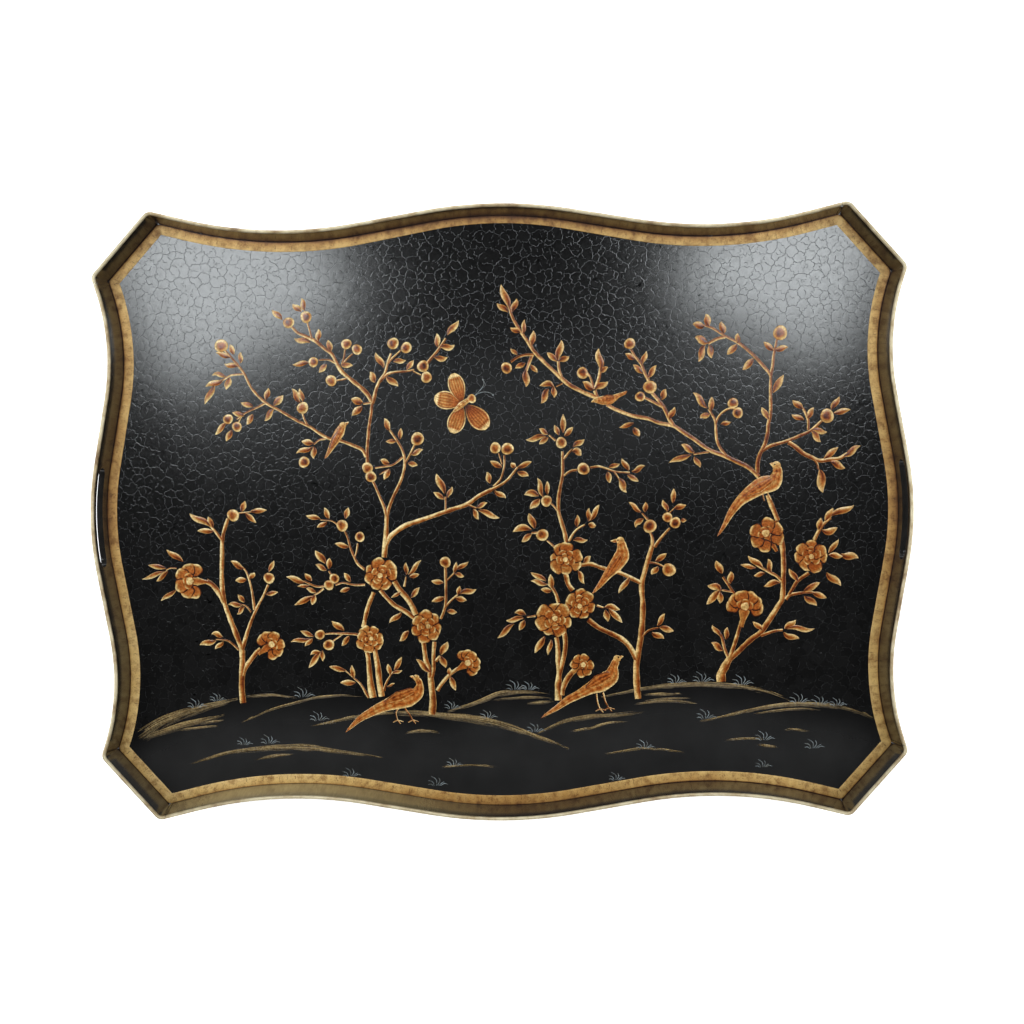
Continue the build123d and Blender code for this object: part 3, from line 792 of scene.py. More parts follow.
def bird(film, rng, shape):
    """A bird from the legs up: tail feathers, body, shaded wing, beak, head and eye."""
    spine, widths = shape["spine"], shape["widths"]
    for points in shape["legs"]:
        stem(film, rng, 1.3, 1.0, points)
    for x, y in shape.get("toes", []):
        for dx, dy in TOES:
            stem(film, rng, 1.2, 0.7, [(x, y), (x + dx, y + dy)])
    tail = len(spine) // 2
    for offset in (-0.9, 0.9):
        feather = [(x + offset, y + offset) for x, y in spine[tail:]]
        feathered(film, rng, feather, [w * 0.6 for w in widths[tail:]], BLOOM_LEVEL - 0.06, 0.1, 0, 0.1)
    feathered(film, rng, spine, widths, BLOOM_LEVEL, 0.25, int(len(spine) * 1.5))
    x0, y0, x1, y1, width = shape["wing"]
    fold = [(x0, y0), ((x0 + x1) / 2, (y0 + y1) / 2), (x1, y1)]
    for grown, rise, scallops, darkness in ((1.5, 0.14, 0, 0.46), (0, 0.2, 4, 0.1)):
        feathered(film, rng, fold, [width * 0.6 + grown, width + grown, 1.5 + grown],
                  BLOOM_LEVEL + rise, 0.15, scallops, darkness)
    hx, hy = spine[0]
    bx, by = shape["beak"]
    leaf(film, rng, hx, hy, bx, by, widths[0] * 0.42)
    disc(film, (hx, hy), np.full(14, widths[0] * 0.52), BLOOM_LEVEL + 0.1, 0.2,
         lambda ring, angle: 0.62 + 0.2 * ring + 0.1 * np.cos(angle - 2))
    disc(film, (hx + 0.25 * (bx - hx), hy + 0.25 * (by - hy) + 0.6), np.full(8, max(0.5, widths[2] * 0.05)),
         BLOOM_LEVEL + 0.32, 0.03, lambda ring, angle: 0)


def painted_birds():
    film = Film("painted_birds")
    for name, shape in BIRDS.items():
        bird(film, random.Random(f"{SEED}{name}"), shape)
    return film


# A wing is its root and tip, its width and how many streaks it carries.
BUTTERFLY_WINGS = [
    (-34, 98, -43, 73, 16, 6), (-34, 100, -59, 105, 16.5, 6),
    (-34, 101, -42, 127, 15, 6), (-30, 98, -11, 77, 18, 7),
]
ANTENNAE = [[(-22, 107), (-18, 109), (-13, 110), (-8, 109), (-5.5, 107)],
            [(-21, 108), (-16, 113), (-13.5, 118), (-14.5, 121)]]


def wing(film, rng, x0, y0, x1, y1, width, streaks, level):
    """A butterfly's wing: dark and streaked at its root, with a pale scalloped rim inside a dark line."""
    root, tip = np.array([x0, y0], float), np.array([x1, y1], float)
    t = np.linspace(0, 1, 26)[:, None]
    half = width / 2 * np.sin(math.pi * np.clip(t, 0.02, 0.985) ** 1.35) ** 0.5
    across = np.linspace(-1, 1, 25)[None, :]
    line = root + (tip - root) * t
    flat = line[:, None, :] + left_of(tip - root) * (half * across)[..., None]
    edge = np.maximum(across ** 2, (t - 0.5) / 0.46)
    rim = np.clip((edge - 0.74) / 0.1, 0, 1)
    groove = np.exp(-((edge - 0.66) / 0.06) ** 2)
    veins = np.cos(streaks * math.pi * across) * np.clip(t * 2.0, 0, 1)
    tone = 0.32 + 0.34 * t - 0.24 * groove + 0.38 * rim + 0.15 * veins + 0.1 * rng.uniform(-1, 1)
    tone = tone - 0.3 * np.exp(-t / 0.12)
    crown = 0.06 * np.sqrt(np.clip(1 - across ** 2, 0, 1)) * np.clip(t * 8, 0, 1) * np.clip((1 - t) * 8, 0, 1)
    film.grid(flat, level + crown, ramp(tone, WARM))


def butterfly():
    rng = random.Random(SEED + 5)
    film = Film("painted_butterfly")
    for k, shape in enumerate(BUTTERFLY_WINGS):
        wing(film, rng, *shape, LEAF_LEVEL + 0.07 * k)
    feathered(film, rng, [(-42, 92), (-35, 98), (-28, 103)], [2, 5.5, 4], BLOOM_LEVEL + 0.2, 0.3, 4, -0.2)
    berry(film, rng, -25, 104, 4)
    for points in ANTENNAE:
        line = curve_through(points, 1.0)
        ribbon(film, line, np.full(len(line), 0.24), STEM_LEVEL, 0.06, GRASS_WHITE)
        disc(film, points[-1], np.full(8, 0.7), STEM_LEVEL, 0.08, lambda ring, angle: 0,
             [(0, GRASS_WHITE), (1, GRASS_WHITE)])
    return film


# ---------------------------------------------------------------- the rim's outline

# Half of the rim's outer corners, clockwise, as x, y, kind and radius. A bend is rounded as asked.
BEND, DIP, CREST = "bend", "dip", "crest"
HALF_OUTLINE = [
    (-363.4, 216.5, BEND, 0), (-311.8, 274.4, BEND, 0), (-203, 247.5, DIP, 375), (0, 282, CREST, 390),
    (203, 247.5, DIP, 375), (311.8, 274.4, BEND, 0), (363.4, 216.5, BEND, 0), (344, 158, DIP, 200),
    (372.5, 0, CREST, 270), (344, -158, DIP, 200),
]


def headings(corners, i):
    """The directions in which a closed outline comes to a corner and leaves it."""
    before, here, after = corners[i - 1], corners[i], corners[(i + 1) % len(corners)]
    return (here - before) / np.hypot(*(here - before)), (after - here) / np.hypot(*(after - here))


def rim_outline(inset, bend_radius, arc_step=6.0):
    """Points round a line that runs inset millimetres inside the rim's outer edge, clockwise."""
    half = [(x, y) for x, y, _, _ in HALF_OUTLINE]
    corners = np.array(half + [(-x, -y) for x, y in half], float)
    moved = []
    for i, corner in enumerate(corners):
        u, v = headings(corners, i)
        inward = -left_of(u) - left_of(v)
        moved.append(corner + inset * inward / (1 + u @ v))
    line = []
    for i, corner in enumerate(moved):
        u, v = headings(moved, i)
        _, _, kind, radius = HALF_OUTLINE[i % len(HALF_OUTLINE)]
        radius = {BEND: bend_radius, CREST: radius - inset, DIP: radius + inset}[kind]
        if radius <= 0:
            line.append(corner)
            continue
        turn = math.atan2(u[0] * v[1] - u[1] * v[0], u @ v)
        start = corner - u * radius * math.tan(abs(turn) / 2)
        spoke = left_of(u) * math.copysign(radius, -turn)
        steps = max(2, int(radius * abs(turn) / arc_step))
        for angle in np.linspace(0, turn, steps + 1):
            swung = spoke * math.cos(angle) + np.array([-spoke[1], spoke[0]]) * math.sin(angle)
            line.append(start - spoke + swung)
    return np.array(line)


def resample(line, count):
    """The same number of evenly spaced points round a closed line, from its first point."""
    closed = np.vstack([line, line[:1]])
    run = run_along(closed)
    places = np.linspace(0, run[-1], count, endpoint=False)
    return np.stack([np.interp(places, run, closed[:, k]) for k in range(2)], axis=1)


def nearest_on(outline, point):
    """The place on a closed outline that is nearest to a point."""
    edges = np.roll(outline, -1, axis=0) - outline
    share = ((point - outline) * edges).sum(1) / np.maximum((edges ** 2).sum(1), 1e-9)
    near = outline + edges * np.clip(share, 0, 1)[:, None]
    return near[np.argmin(((near - point) ** 2).sum(1))]


def inside(points, outline):
    """True for the points that lie inside a closed outline."""
    x, y = points[:, 0], points[:, 1]
    found = np.zeros(len(points), bool)
    for (x0, y0), (x1, y1) in zip(outline, np.roll(outline, -1, axis=0)):
        crosses = (y0 > y) != (y1 > y)
        found ^= crosses & (x < (x1 - x0) * (y - y0) / (y1 - y0 + 1e-12) + x0)
    return found


# ---------------------------------------------------------------- materials

class Wiring:
    """Adds nodes to a node tree. Most methods return the output of the node that they add."""

    def __init__(self, tree):
        self.nodes = tree.nodes
        self.links = tree.links

    def wire(self, source, target):
        """Gives an input another node's output, or a value."""
        if isinstance(source, bpy.types.NodeSocket):
            self.links.new(source, target)
        else:
            target.default_value = source

    def node(self, kind, inputs, **settings):
        """A new shader node with its settings and inputs; this one returns the node itself."""
        node = self.nodes.new("ShaderNode" + kind)
        for name, value in settings.items():
            setattr(node, name, value)
        for name, source in inputs.items():
            self.wire(source, node.inputs[name])
        return node

    def axes(self, vector):
        """The X, Y and Z outputs of a vector."""
        return self.node("SeparateXYZ", {"Vector": vector}).outputs

    def place(self):
        """The object's own coordinates, in metres."""
        return self.node("TexCoord", {}).outputs["Object"]

    def tint(self):
        """The film's own colours."""
        return self.node("Attribute", {}, attribute_name="tint").outputs["Color"]

    def noise(self, scale, detail, roughness, stretch=None):
        place = self.place()
        if stretch:
            place = self.node("Mapping", {"Vector": place, "Scale": stretch}).outputs["Vector"]
        inputs = {"Vector": place, "Scale": scale, "Detail": detail, "Roughness": roughness}
        return self.node("TexNoise", inputs).outputs["Fac"]

    def ramp(self, source, stops):
        """A colour ramp through (place, colour) stops."""
        node = self.node("ValToRGB", {"Fac": source})
        elements = node.color_ramp.elements
        elements.remove(elements[-1])
        elements[0].position = stops[0][0]
        for place, _ in stops[1:]:
            elements.new(place)
        for element, (_, colour) in zip(elements, stops):
            element.color = (*colour, 1)
        return node.outputs["Color"]

    def multiply(self, a, b):
        inputs = {"Factor": 1.0, "A": a, "B": b}
        return self.node("Mix", inputs, data_type="RGBA", blend_type="MULTIPLY").outputs["Result"]

    def blend(self, share, a, b):
        return self.node("Mix", {"Factor": share, "A": a, "B": b}, data_type="RGBA").outputs["Result"]

    def calculate(self, operation, a, b):
        return self.node("Math", {0: a, 1: b}, operation=operation).outputs["Value"]

    def remap(self, source, low, high, new_low, new_high):
        return self.node("MapRange", {"Value": source, "From Min": low, "From Max": high,
                                      "To Min": new_low, "To Max": new_high}).outputs["Result"]

    def bump(self, height, distance, strength):
        inputs = {"Height": height, "Distance": distance, "Strength": strength}
        return self.node("Bump", inputs).outputs["Normal"]


def make_material(name, recipe):
    """A material; the recipe takes its wiring and returns the shader's inputs."""
    material = bpy.data.materials.new(name)
    material.use_nodes = True
    wiring = Wiring(material.node_tree)
    shader = wiring.nodes["Principled BSDF"]
    for target, source in recipe(wiring).items():
        wiring.wire(source, shader.inputs[target])
    return material


def garden_paint(w):
    """Hand-laid gold paint: the film's own tints, with brush grain."""
    grain = w.noise(620, 4.0, 0.65)
    shade = w.ramp(grain, [(0.34, (0.50, 0.42, 0.34)), (0.60, (1.12, 1.12, 1.12))])
    wash = w.ramp(w.noise(210, 3.0, 0.6), [(0.36, (0.74, 0.66, 0.56)), (0.56, (1.08, 1.08, 1.08))])
    return {
        "Base Color": w.multiply(w.multiply(w.tint(), shade), wash),
        "Specular IOR Level": 0.4,
        "Roughness": w.remap(grain, 0.3, 0.7, 0.17, 0.27),
        "Normal": w.bump(grain, 0.00008, 0.6),
    }


def crackled_lacquer(w):
    """Glossy black plates, each a little different."""
    cloud = w.noise(14, 5.0, 0.6)
    black = w.ramp(cloud, [(0.3, (0.0022, 0.0022, 0.0023)), (0.7, (0.0042, 0.0042, 0.0042))])
    fine = w.noise(330, 3.0, 0.6)
    return {
        "Base Color": w.multiply(black, w.tint()),
        "Roughness": w.remap(fine, 0.3, 0.7, 0.12, 0.18),
        "Normal": w.bump(fine, 0.00005, 0.5),
    }


def pan_lacquer_dust_and_highlight(w):
    """Black lacquer below and grey dust above, which shows only in the cracks of the lacquer; the grey is
    also painted highlight for the light the cracks' edges catch, and grows brighter towards the back.
    """
    axes = w.axes(w.place())
    above = w.remap(axes["Z"], 0.0042, 0.0044, 0.0, 1.0)
    dust = w.noise(60, 5.0, 0.6)
    thin = w.ramp(dust, [(0.35, (0.012, 0.012, 0.0125)), (0.7, (0.038, 0.039, 0.041))])
    back_dust_and_highlight = w.ramp(dust, [(0.3, (0.092, 0.095, 0.102)), (0.7, (0.25, 0.257, 0.275))])
    # Painted highlight: the cracks are made brighter towards the back, where more light reaches them.
    grey = w.blend(w.remap(axes["Y"], -0.08, 0.17, 0.0, 1.0), thin, back_dust_and_highlight)
    cloud = w.noise(40, 5.0, 0.6)
    black = w.ramp(cloud, [(0.3, (0.0045, 0.0045, 0.0048)), (0.7, (0.0085, 0.0085, 0.009))])
    return {
        "Base Color": w.blend(above, black, grey),
        "Roughness": w.remap(above, 0, 1, 0.28, 0.2),
        "Normal": w.bump(cloud, 0.0001, 0.4),
    }


def hill_paint(w):
    """The hills' thin dark paint, glossy as the lacquer at their tops and duller below."""
    depth = w.tint()
    dark = w.ramp(w.noise(30, 6.0, 0.6), [(0.3, (0.0065, 0.0065, 0.0066)), (0.7, (0.0115, 0.0115, 0.0116))])
    return {
        "Base Color": w.multiply(dark, depth),
        "Roughness": w.remap(depth, 0.3, 1.0, 0.19, 0.30),
        "Normal": w.bump(w.noise(260, 3.0, 0.6), 0.00002, 0.3),
    }


def painted_reflection_patch(w, axes):
    """Painted reflection: 1 inside the front left wall, fading to 0 round it, where the wall is made
    brighter.
    """
    facing = w.axes(w.node("NewGeometry", {}).outputs["Normal"])
    share = w.remap(facing["Y"], 0.80, 0.90, 0.0, 1.0)
    for axis, low, high in (("X", 0.0, -0.16), ("X", -0.33, -0.25), ("Y", -0.15, -0.2)):
        share = w.calculate("MULTIPLY", share, w.remap(axes[axis], low, high, 0.0, 1.0))
    return share


def rim_lacquer_and_gilt(w):
    """Black lacquered wall with a gilt rolled edge, and a bronze patch of painted reflection that brightens
    it inside the front left.
    """
    axes = w.axes(w.place())
    edge = w.noise(120, 3.0, 0.6)
    height = w.calculate("ADD", axes["Z"], w.remap(edge, 0.3, 0.7, -0.00015, 0.00015))
    gilt = w.remap(height, 0.0375, 0.0378, 0.0, 1.0)
    black = w.ramp(edge, [(0.3, (0.005, 0.0048, 0.0045)), (0.7, (0.012, 0.011, 0.010))])
    streaks = w.noise(60, 5.0, 0.6, (8.0, 8.0, 0.5))
    # Painted reflection: the bronze that brightens the inside of the front left wall.
    bronze = w.ramp(streaks, [(0.3, (0.17, 0.137, 0.068)), (0.7, (0.25, 0.202, 0.101))])
    worn = w.noise(60, 6.0, 0.65)
    gold = w.ramp(worn, [(0.28, srgb(104, 80, 52)), (0.42, srgb(160, 143, 110)), (0.6, srgb(194, 184, 154))])
    return {
        "Base Color": w.blend(gilt, w.blend(painted_reflection_patch(w, axes), black, bronze), gold),
        "Roughness": w.remap(gilt, 0, 1, 0.16, 0.42),
        "Metallic": w.remap(gilt, 0, 1, 0.0, 0.35),
        "Normal": w.bump(worn, 0.0001, 0.4),
    }


def aged_gilt(w):
    """Aged gold paint, mottled and specked with brown."""
    mottle = w.noise(150, 6.0, 0.66)
    shade = w.ramp(mottle, [(0.34, (0.5, 0.4, 0.3)), (0.52, (0.98, 0.96, 0.92)), (0.7, (1.12, 1.12, 1.08))])
    speck = w.ramp(w.noise(700, 3.0, 0.6), [(0.30, (0.55, 0.46, 0.38)), (0.45, (1.0, 1.0, 1.0))])
    return {
        "Base Color": w.multiply(w.multiply(w.tint(), shade), speck),
        "Metallic": 0.25,
        "Roughness": w.remap(mottle, 0.3, 0.7, 0.5, 0.36),
        "Normal": w.bump(mottle, 0.00008, 0.6),
    }


def metal(dark, light, metallic, roughness):
    """A recipe for a mottled metal."""
    def recipe(w):
        mottle = w.noise(160, 4.0, 0.6)
        return {
            "Base Color": w.ramp(mottle, [(0.3, dark), (0.7, light)]),
            "Metallic": metallic,
            "Roughness": w.remap(mottle, 0.3, 0.7, roughness, roughness + 0.15),
            "Normal": w.bump(mottle, 0.00005, 0.5),
        }
    return recipe


def finish_cad_nodes():
    pan = make_material("pan_lacquer_dust_and_highlight", pan_lacquer_dust_and_highlight)
    rim = make_material("rim_lacquer_and_gilt", rim_lacquer_and_gilt)
    iron = make_material("edge_wire_iron", metal(srgb(60, 52, 44), srgb(112, 100, 86), 0.9, 0.45))
    solder = make_material("seam_solder_blackened", metal(srgb(20, 19, 18), srgb(40, 38, 36), 0.3, 0.4))
    finishes = {"rim_strip": rim, "corner_seam": rim, "edge_wire": iron, "pan_solder": solder}
    for name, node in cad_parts.items():
        chosen = next((finish for start, finish in finishes.items() if name.startswith(start)), pan)
        for place in node.material_slots:
            place.material = chosen


# ---------------------------------------------------------------- gilt band

BAND_OUTER_INSET = 7.35
BAND_INNER_INSET = 16.3
BAND_POINTS = 1600
BAND_LENGTH = 2400
BAND_ACROSS = np.array([0, 0.04, 0.11, 0.3, 0.55, 0.8, 0.95, 1.0])
BAND_CROWN = np.array([-0.06, 0.0, 0.06, 0.1, 0.1, 0.1, 0.08, -0.08])
# Across the band from the wall: a dark line at the wall's foot, then gold that grows lighter away from the
# wall; the darkening by the wall is partly painted shade.
BAND_TONES = np.array([0.1, 0.14, 0.42, 0.55, 0.64, 0.70, 0.72, 0.6])
# How much of the painted shade and smudging by the wall is lifted in front and at the sides.
BAND_SHADE_LIFT = np.array([0, 0.24, 0.18, 0.11, 0.04, 0, 0, 0])
BAND_CRACK_BROWN = srgb(74, 42, 22)


def band_edges():
    """The band's outer and inner edge, point for point, a little closer together at the back."""
    outer = resample(rim_outline(BAND_OUTER_INSET, 4.0, 3.0), BAND_POINTS)
    inner_line = rim_outline(BAND_INNER_INSET, 0.6, 3.0)
    inner = np.array([nearest_on(inner_line, point) for point in outer])
    thin = 0.25 * np.exp(-(outer[:, 0] / 110) ** 2) * (outer[:, 1] > 0)
    return outer, inner + (outer - inner) * thin[:, None]


def band_tone(rng, x, y):
    """Gold darkened towards the wall by brown smudges and painted shade from the wall, less so in front and
    at the sides, lit up in front with painted light, and worn at the crests.
    """
    run = np.arange(BAND_POINTS) / BAND_POINTS * BAND_LENGTH
    wobble = wander(rng, run, 4.0)
    wobble[-1] = wobble[0]
    smudge_and_shade = 0.5 + 0.5 * wander(rng, run, 22.0)
    across = BAND_ACROSS[:, None]
    tone = BAND_TONES[:, None] + 0.07 * wobble - 0.14 * smudge_and_shade * (1 - across)
    front = np.clip(-y / 120, 0, 1)
    sides = np.clip((np.abs(x) - 250) / 60, 0, 1)
    tone = tone + np.maximum(front, 0.8 * sides) * BAND_SHADE_LIFT[:, None]
    # Painted light: the front of the band is made brighter, more on the left and not at the middle.
    bright = front * (0.10 - 0.05 * np.sign(x)) * (1 - np.exp(-(x / 120) ** 2))
    worn = np.maximum(np.exp(-(x / 95) ** 2), np.exp(-(y / 75) ** 2))
    return tone + bright * (across > 0) - 0.17 * worn * (across > 0.1)


def band_cracks(film, rng, outer, inner):
    """Fine brown cracks across the band, at random places."""
    count = 6
    for place in range(0, BAND_POINTS, 5):
        if rng.random() < 0.5:
            continue
        start = rng.uniform(0.05, 0.5)
        share = np.linspace(start, min(1.0, start + rng.uniform(0.3, 0.7)), count)[:, None]
        jog = [[rng.gauss(0, 0.35), rng.gauss(0, 0.35)] for _ in range(count)]
        crack = outer[place] * (1 - share) + inner[place] * share + np.array(jog)
        half = rng.uniform(0.08, 0.22) * np.sin(math.pi * np.linspace(0.08, 0.92, count))
        ribbon(film, crack, half, BAND_LEVEL + 0.105, 0.01, BAND_CRACK_BROWN)


def gilt_band():
    """The painted gold band that follows the foot of the wall."""
    rng = random.Random(SEED + 1)
    film = Film("gilt_band")
    outer, inner = band_edges()
    flat = np.stack([outer * (1 - k) + inner * k for k in BAND_ACROSS])
    tints = ramp(band_tone(rng, outer[:, 0], outer[:, 1]), GILT)
    film.grid(flat, BAND_LEVEL + BAND_CROWN[:, None], tints, closed=True)
    band_cracks(film, rng, outer, inner)
    return film


# ---------------------------------------------------------------- crackled lacquer

# The line that the hills' tops follow
GROUND_TOP = [(-360, -215), (-336, -205.5), (-318, -193.5), (-300, -185.5), (-282, -179.5), (-264, -175),
              (-243, -169), (-223, -167), (-199, -167.5), (-164, -167.5), (-146, -167), (-126, -168.5),
              (-114, -174), (-100, -182), (-81, -184.5), (-63, -186), (-51, -183.5), (-28, -177), (-4, -168),
              (10, -166.4), (27, -166), (43, -168), (70, -172), (90, -171), (118, -166), (144, -162),
              (180, -160.4), (209, -162), (227, -164.6), (245, -169), (263, -176), (287, -179.5),
              (309, -182), (325, -186.5), (339, -192.5), (360, -200)]


def ground_height(x):
    return np.interp(x, *np.array(GROUND_TOP, float).T)


CELL = 7.8
CELL_SCATTER = 0.42
CELLS_MISSING = 0.12
SKIN_INSET = 12.5
SKIN_BELOW_GROUND = 16
CRACK_OPENINGS = [0.03, 0.07, 0.10, 0.13]
CRACK_CHANCES = [0.25, 0.3, 0.3, 0.15]


def crack_seeds(rng):
    """Staggered, scattered points, one inside each plate of lacquer."""
    columns, rows = int(380 / CELL), int(300 / CELL)
    seeds = np.array([
        (i * CELL, (j + 0.5 * (i % 2)) * CELL)
        for i in range(-columns, columns + 1) for j in range(-rows, rows + 1)
    ])
    seeds = seeds + rng.normal(0, CELL_SCATTER * CELL, seeds.shape)
    return seeds[rng.random(len(seeds)) > CELLS_MISSING]


def voronoi(seeds):
    """Voronoi corners of the seeds, and for each pair of neighbours the two corners between them."""
    _, _, triangles, _, _, _ = geometry.delaunay_2d_cdt([Vector(p) for p in seeds.tolist()], [], [], 0, 1e-6)
    triangles = np.array(triangles)
    a, b, c = (seeds[triangles[:, k]] for k in range(3))
    d = 2 * (a[:, 0] * (b[:, 1] - c[:, 1]) + b[:, 0] * (c[:, 1] - a[:, 1]) + c[:, 0] * (a[:, 1] - b[:, 1]))
    sa, sb, sc = (a ** 2).sum(1), (b ** 2).sum(1), (c ** 2).sum(1)
    corners = np.stack([
        (sa * (b[:, 1] - c[:, 1]) + sb * (c[:, 1] - a[:, 1]) + sc * (a[:, 1] - b[:, 1])) / d,
        (sa * (c[:, 0] - b[:, 0]) + sb * (a[:, 0] - c[:, 0]) + sc * (b[:, 0] - a[:, 0])) / d,
    ], axis=1)
    pairs = {}
    for index, (i, j, k) in enumerate(triangles.tolist()):
        for pair in ((i, j), (j, k), (k, i)):
            pairs.setdefault(tuple(sorted(pair)), []).append(index)
    return corners, {pair: ends for pair, ends in pairs.items() if len(ends) == 2}


def crack_line(rng, start, end):
    """A ragged crack between two corners, and half its width at each point."""
    span = np.hypot(*(end - start))
    t = np.linspace(0, 1, max(2, int(span / 1.05) + 1))
    jog = sum(rng.normal(0, 0.055 * span) * np.sin(k * math.pi * t) for k in range(1, 8))
    line = start + (end - start) * t[:, None] + left_of(end - start) * jog[:, None]
    opened = rng.choice(CRACK_OPENINGS, p=CRACK_CHANCES)
    breaks = 0.75 + 0.55 * np.sin(rng.uniform(2, 9) * t + rng.uniform(0, 6))
    return line, 0.05 + opened * np.clip(breaks, 0.45, 1.15) * np.sin(math.pi * t) ** 0.2


def plate_edge(seed, cracks):
    """The middle lines of the cracks round a seed as one loop, and half the cracks' width along it."""
    loop, widths = [], []
    for line, half in sorted(cracks, key=lambda crack: math.atan2(*(crack[0].mean(axis=0) - seed)[::-1])):
        u, v = line[0] - seed, line[-1] - seed
        if u[0] * v[1] - u[1] * v[0] < 0:
            line, half = line[::-1], half[::-1]
        loop.append(line[:-1])
        widths.append(half[:-1])
    return np.vstack(loop), np.concatenate(widths)


def plate(film, rng, loop, widths, middle):
    """One domed plate, set back from the loop by half the cracks' width."""
    inward = middle - loop
    room = np.hypot(*inward.T)
    inward = inward / np.maximum(room, 1e-6)[:, None]
    edge = np.minimum(widths, room * 0.4)
    shoulder = np.minimum(widths + 0.28, room * 0.7)
    flat = np.stack([loop + inward * shoulder[:, None], loop + inward * edge[:, None]])
    tint = np.full(3, rng.uniform(0.6, 1.4))
    start = film.grid(flat, np.array([[SKIN_SHOULDER], [SKIN_EDGE]]), tint, closed=True)
    film.cap(middle, SKIN_MIDDLE + rng.normal(0, 0.004), tint, start, len(loop))


def lacquer_skin():
    """The crackled lacquer in four parts: small plates with ragged gaps between them, where the pan's grey
    dust and painted highlight show.
    """
    rng = np.random.default_rng(SEED)
    seeds = crack_seeds(rng)
    corners, pairs = voronoi(seeds)
    around = {}
    for pair, (a, b) in pairs.items():
        crack = crack_line(rng, corners[a], corners[b])
        for index in pair:
            around.setdefault(index, []).append(crack)
    area = rim_outline(SKIN_INSET, 0.6)
    wanted = inside(seeds, rim_outline(SKIN_INSET - 6, 0.6))
    wanted &= seeds[:, 1] >= ground_height(seeds[:, 0]) - SKIN_BELOW_GROUND
    films = {}
    for index, cracks in around.items():
        if not wanted[index]:
            continue
        loop, widths = plate_edge(seeds[index], cracks)
        middle = loop.mean(axis=0)
        for outer in np.nonzero(~inside(loop, area))[0]:
            loop[outer] = nearest_on(area, loop[outer])
        part = ("back" if middle[1] > 0 else "front") + ("_left" if middle[0] < 0 else "_right")
        film = films.setdefault(part, Film("lacquer_skin_" + part))
        plate(film, rng, loop, widths, middle)
    return list(films.values())


# ---------------------------------------------------------------- hills, ground strokes and grass

HILL_DEPTHS = np.array([0, 0.008, 0.02, 0.05, 0.12, 0.3, 0.6, 1.0])[:, None]


def painted_ground():
    """The dark paint of the hills, over the lower part of the lacquer."""
    outline = rim_outline(BAND_INNER_INSET - 2, 0.6)
    low = outline[outline[:, 1] < -206]
    low = low[np.argsort(low[:, 0])]
    xs = np.linspace(low[0, 0] + 0.5, low[-1, 0] - 0.5, 240)
    bottom = np.interp(xs, low[:, 0], low[:, 1])
    top = np.maximum(ground_height(xs), bottom + 0.2)
    y = top * (1 - HILL_DEPTHS) + bottom * HILL_DEPTHS
    flat = np.dstack([np.broadcast_to(xs, y.shape), y])
    depth = 0.3 + 0.7 * np.clip((top - y) / 30, 0, 1)
    film = Film("painted_ground")
    film.grid(flat, GROUND_LEVEL - 0.12 * np.exp(-HILL_DEPTHS * 90), depth[..., None])
    return film


# A dry stroke is its first, widest and last width, then its points.
DRY_STROKES = [
    (11, 7, 2, [(-336, -205), (-318, -193), (-300, -185), (-282, -179), (-264, -174.5), (-243, -169.5)]),
    (2, 2, 1, [(-237, -168), (-223, -166.5), (-211, -166), (-199, -167.5), (-189, -168)]),
    (3, 5, 2, [(-333, -205), (-300, -195), (-280, -190), (-256, -184.5)]),
    (1, 2, 1, [(-280, -192), (-257, -189)]),
    (1, 2, 1, [(-300, -198), (-263, -194)]),
    (1, 2, 1, [(-241, -191), (-229, -186), (-217, -181), (-205, -177), (-188, -172.5), (-176, -169),
               (-164, -168), (-146, -167), (-129, -168)]),
    (1, 4.5, 1, [(-289.5, -229.6), (-264.5, -222), (-247, -218), (-211, -215), (-175, -216), (-152, -219),
                 (-129, -222), (-111, -225)]),
    (1, 2, 1, [(-200, -212), (-164, -214)]),
    (1, 2, 1, [(-229, -225.5), (-211, -222.5), (-193, -221)]),
    (1, 3, 3, [(-177, -195), (-158, -191.5), (-140, -188), (-117, -185), (-99, -184)]),
    (3, 6, 1, [(-99, -184), (-81, -184), (-63, -185.6), (-45, -187.4), (-22, -190.4), (-4, -194.5),
               (13.6, -200), (36, -208), (61, -218)]),
    (1, 2, 1, [(-90, -202), (-75, -200), (-58, -202)]),
    (1, 4, 2, [(-51, -182.6), (-28, -176), (-4, -167), (10, -165.4), (27, -165), (43, -167)]),
    (1, 2, 1, [(-10, -172.5), (8, -170.7), (31, -170), (46, -171)]),
    (1, 2, 1, [(22, -175.5), (48, -174)]),
    (1, 4, 2, [(31, -203.5), (43, -198), (55, -193), (67, -190.4), (85, -188), (103, -187), (130, -184)]),
    (1, 2, 1, [(62, -202), (79, -199), (97, -194.5), (115, -193)]),
    (1, 4, 2, [(90, -170), (118, -165), (144, -161), (162, -160), (180, -159.4), (209, -161), (227, -163.6),
               (245, -168), (263, -175)]),
    (1, 2, 1, [(128, -168.5), (165, -168)]),
    (1, 2, 1, [(130, -173.5), (172, -171.5)]),
    (1, 2, 1, [(120, -177), (150, -174.5), (178, -177)]),
    (1, 3.5, 3, [(180, -193), (197, -190), (213, -186.5), (229, -183), (247, -180), (265, -178.5),
                 (287, -179), (309, -181.5), (325, -186), (339, -192)]),
    (1, 1.5, 1, [(229, -187), (251, -184), (275, -182.5), (290, -184)]),
    (1, 1.5, 1, [(257, -201), (281, -203)]),
    (1, 1.5, 1, [(203, -210.6), (221, -209.5), (239, -210)]),
    (1, 1.5, 1, [(232, -215), (252, -218)]),
    (1, 1.5, 1, [(-57, -234), (-30, -232), (-8, -234)]),
    (1, 1.5, 1, [(93, -223), (115, -219.5), (130, -218), (150, -219.5), (166, -222)]),
]
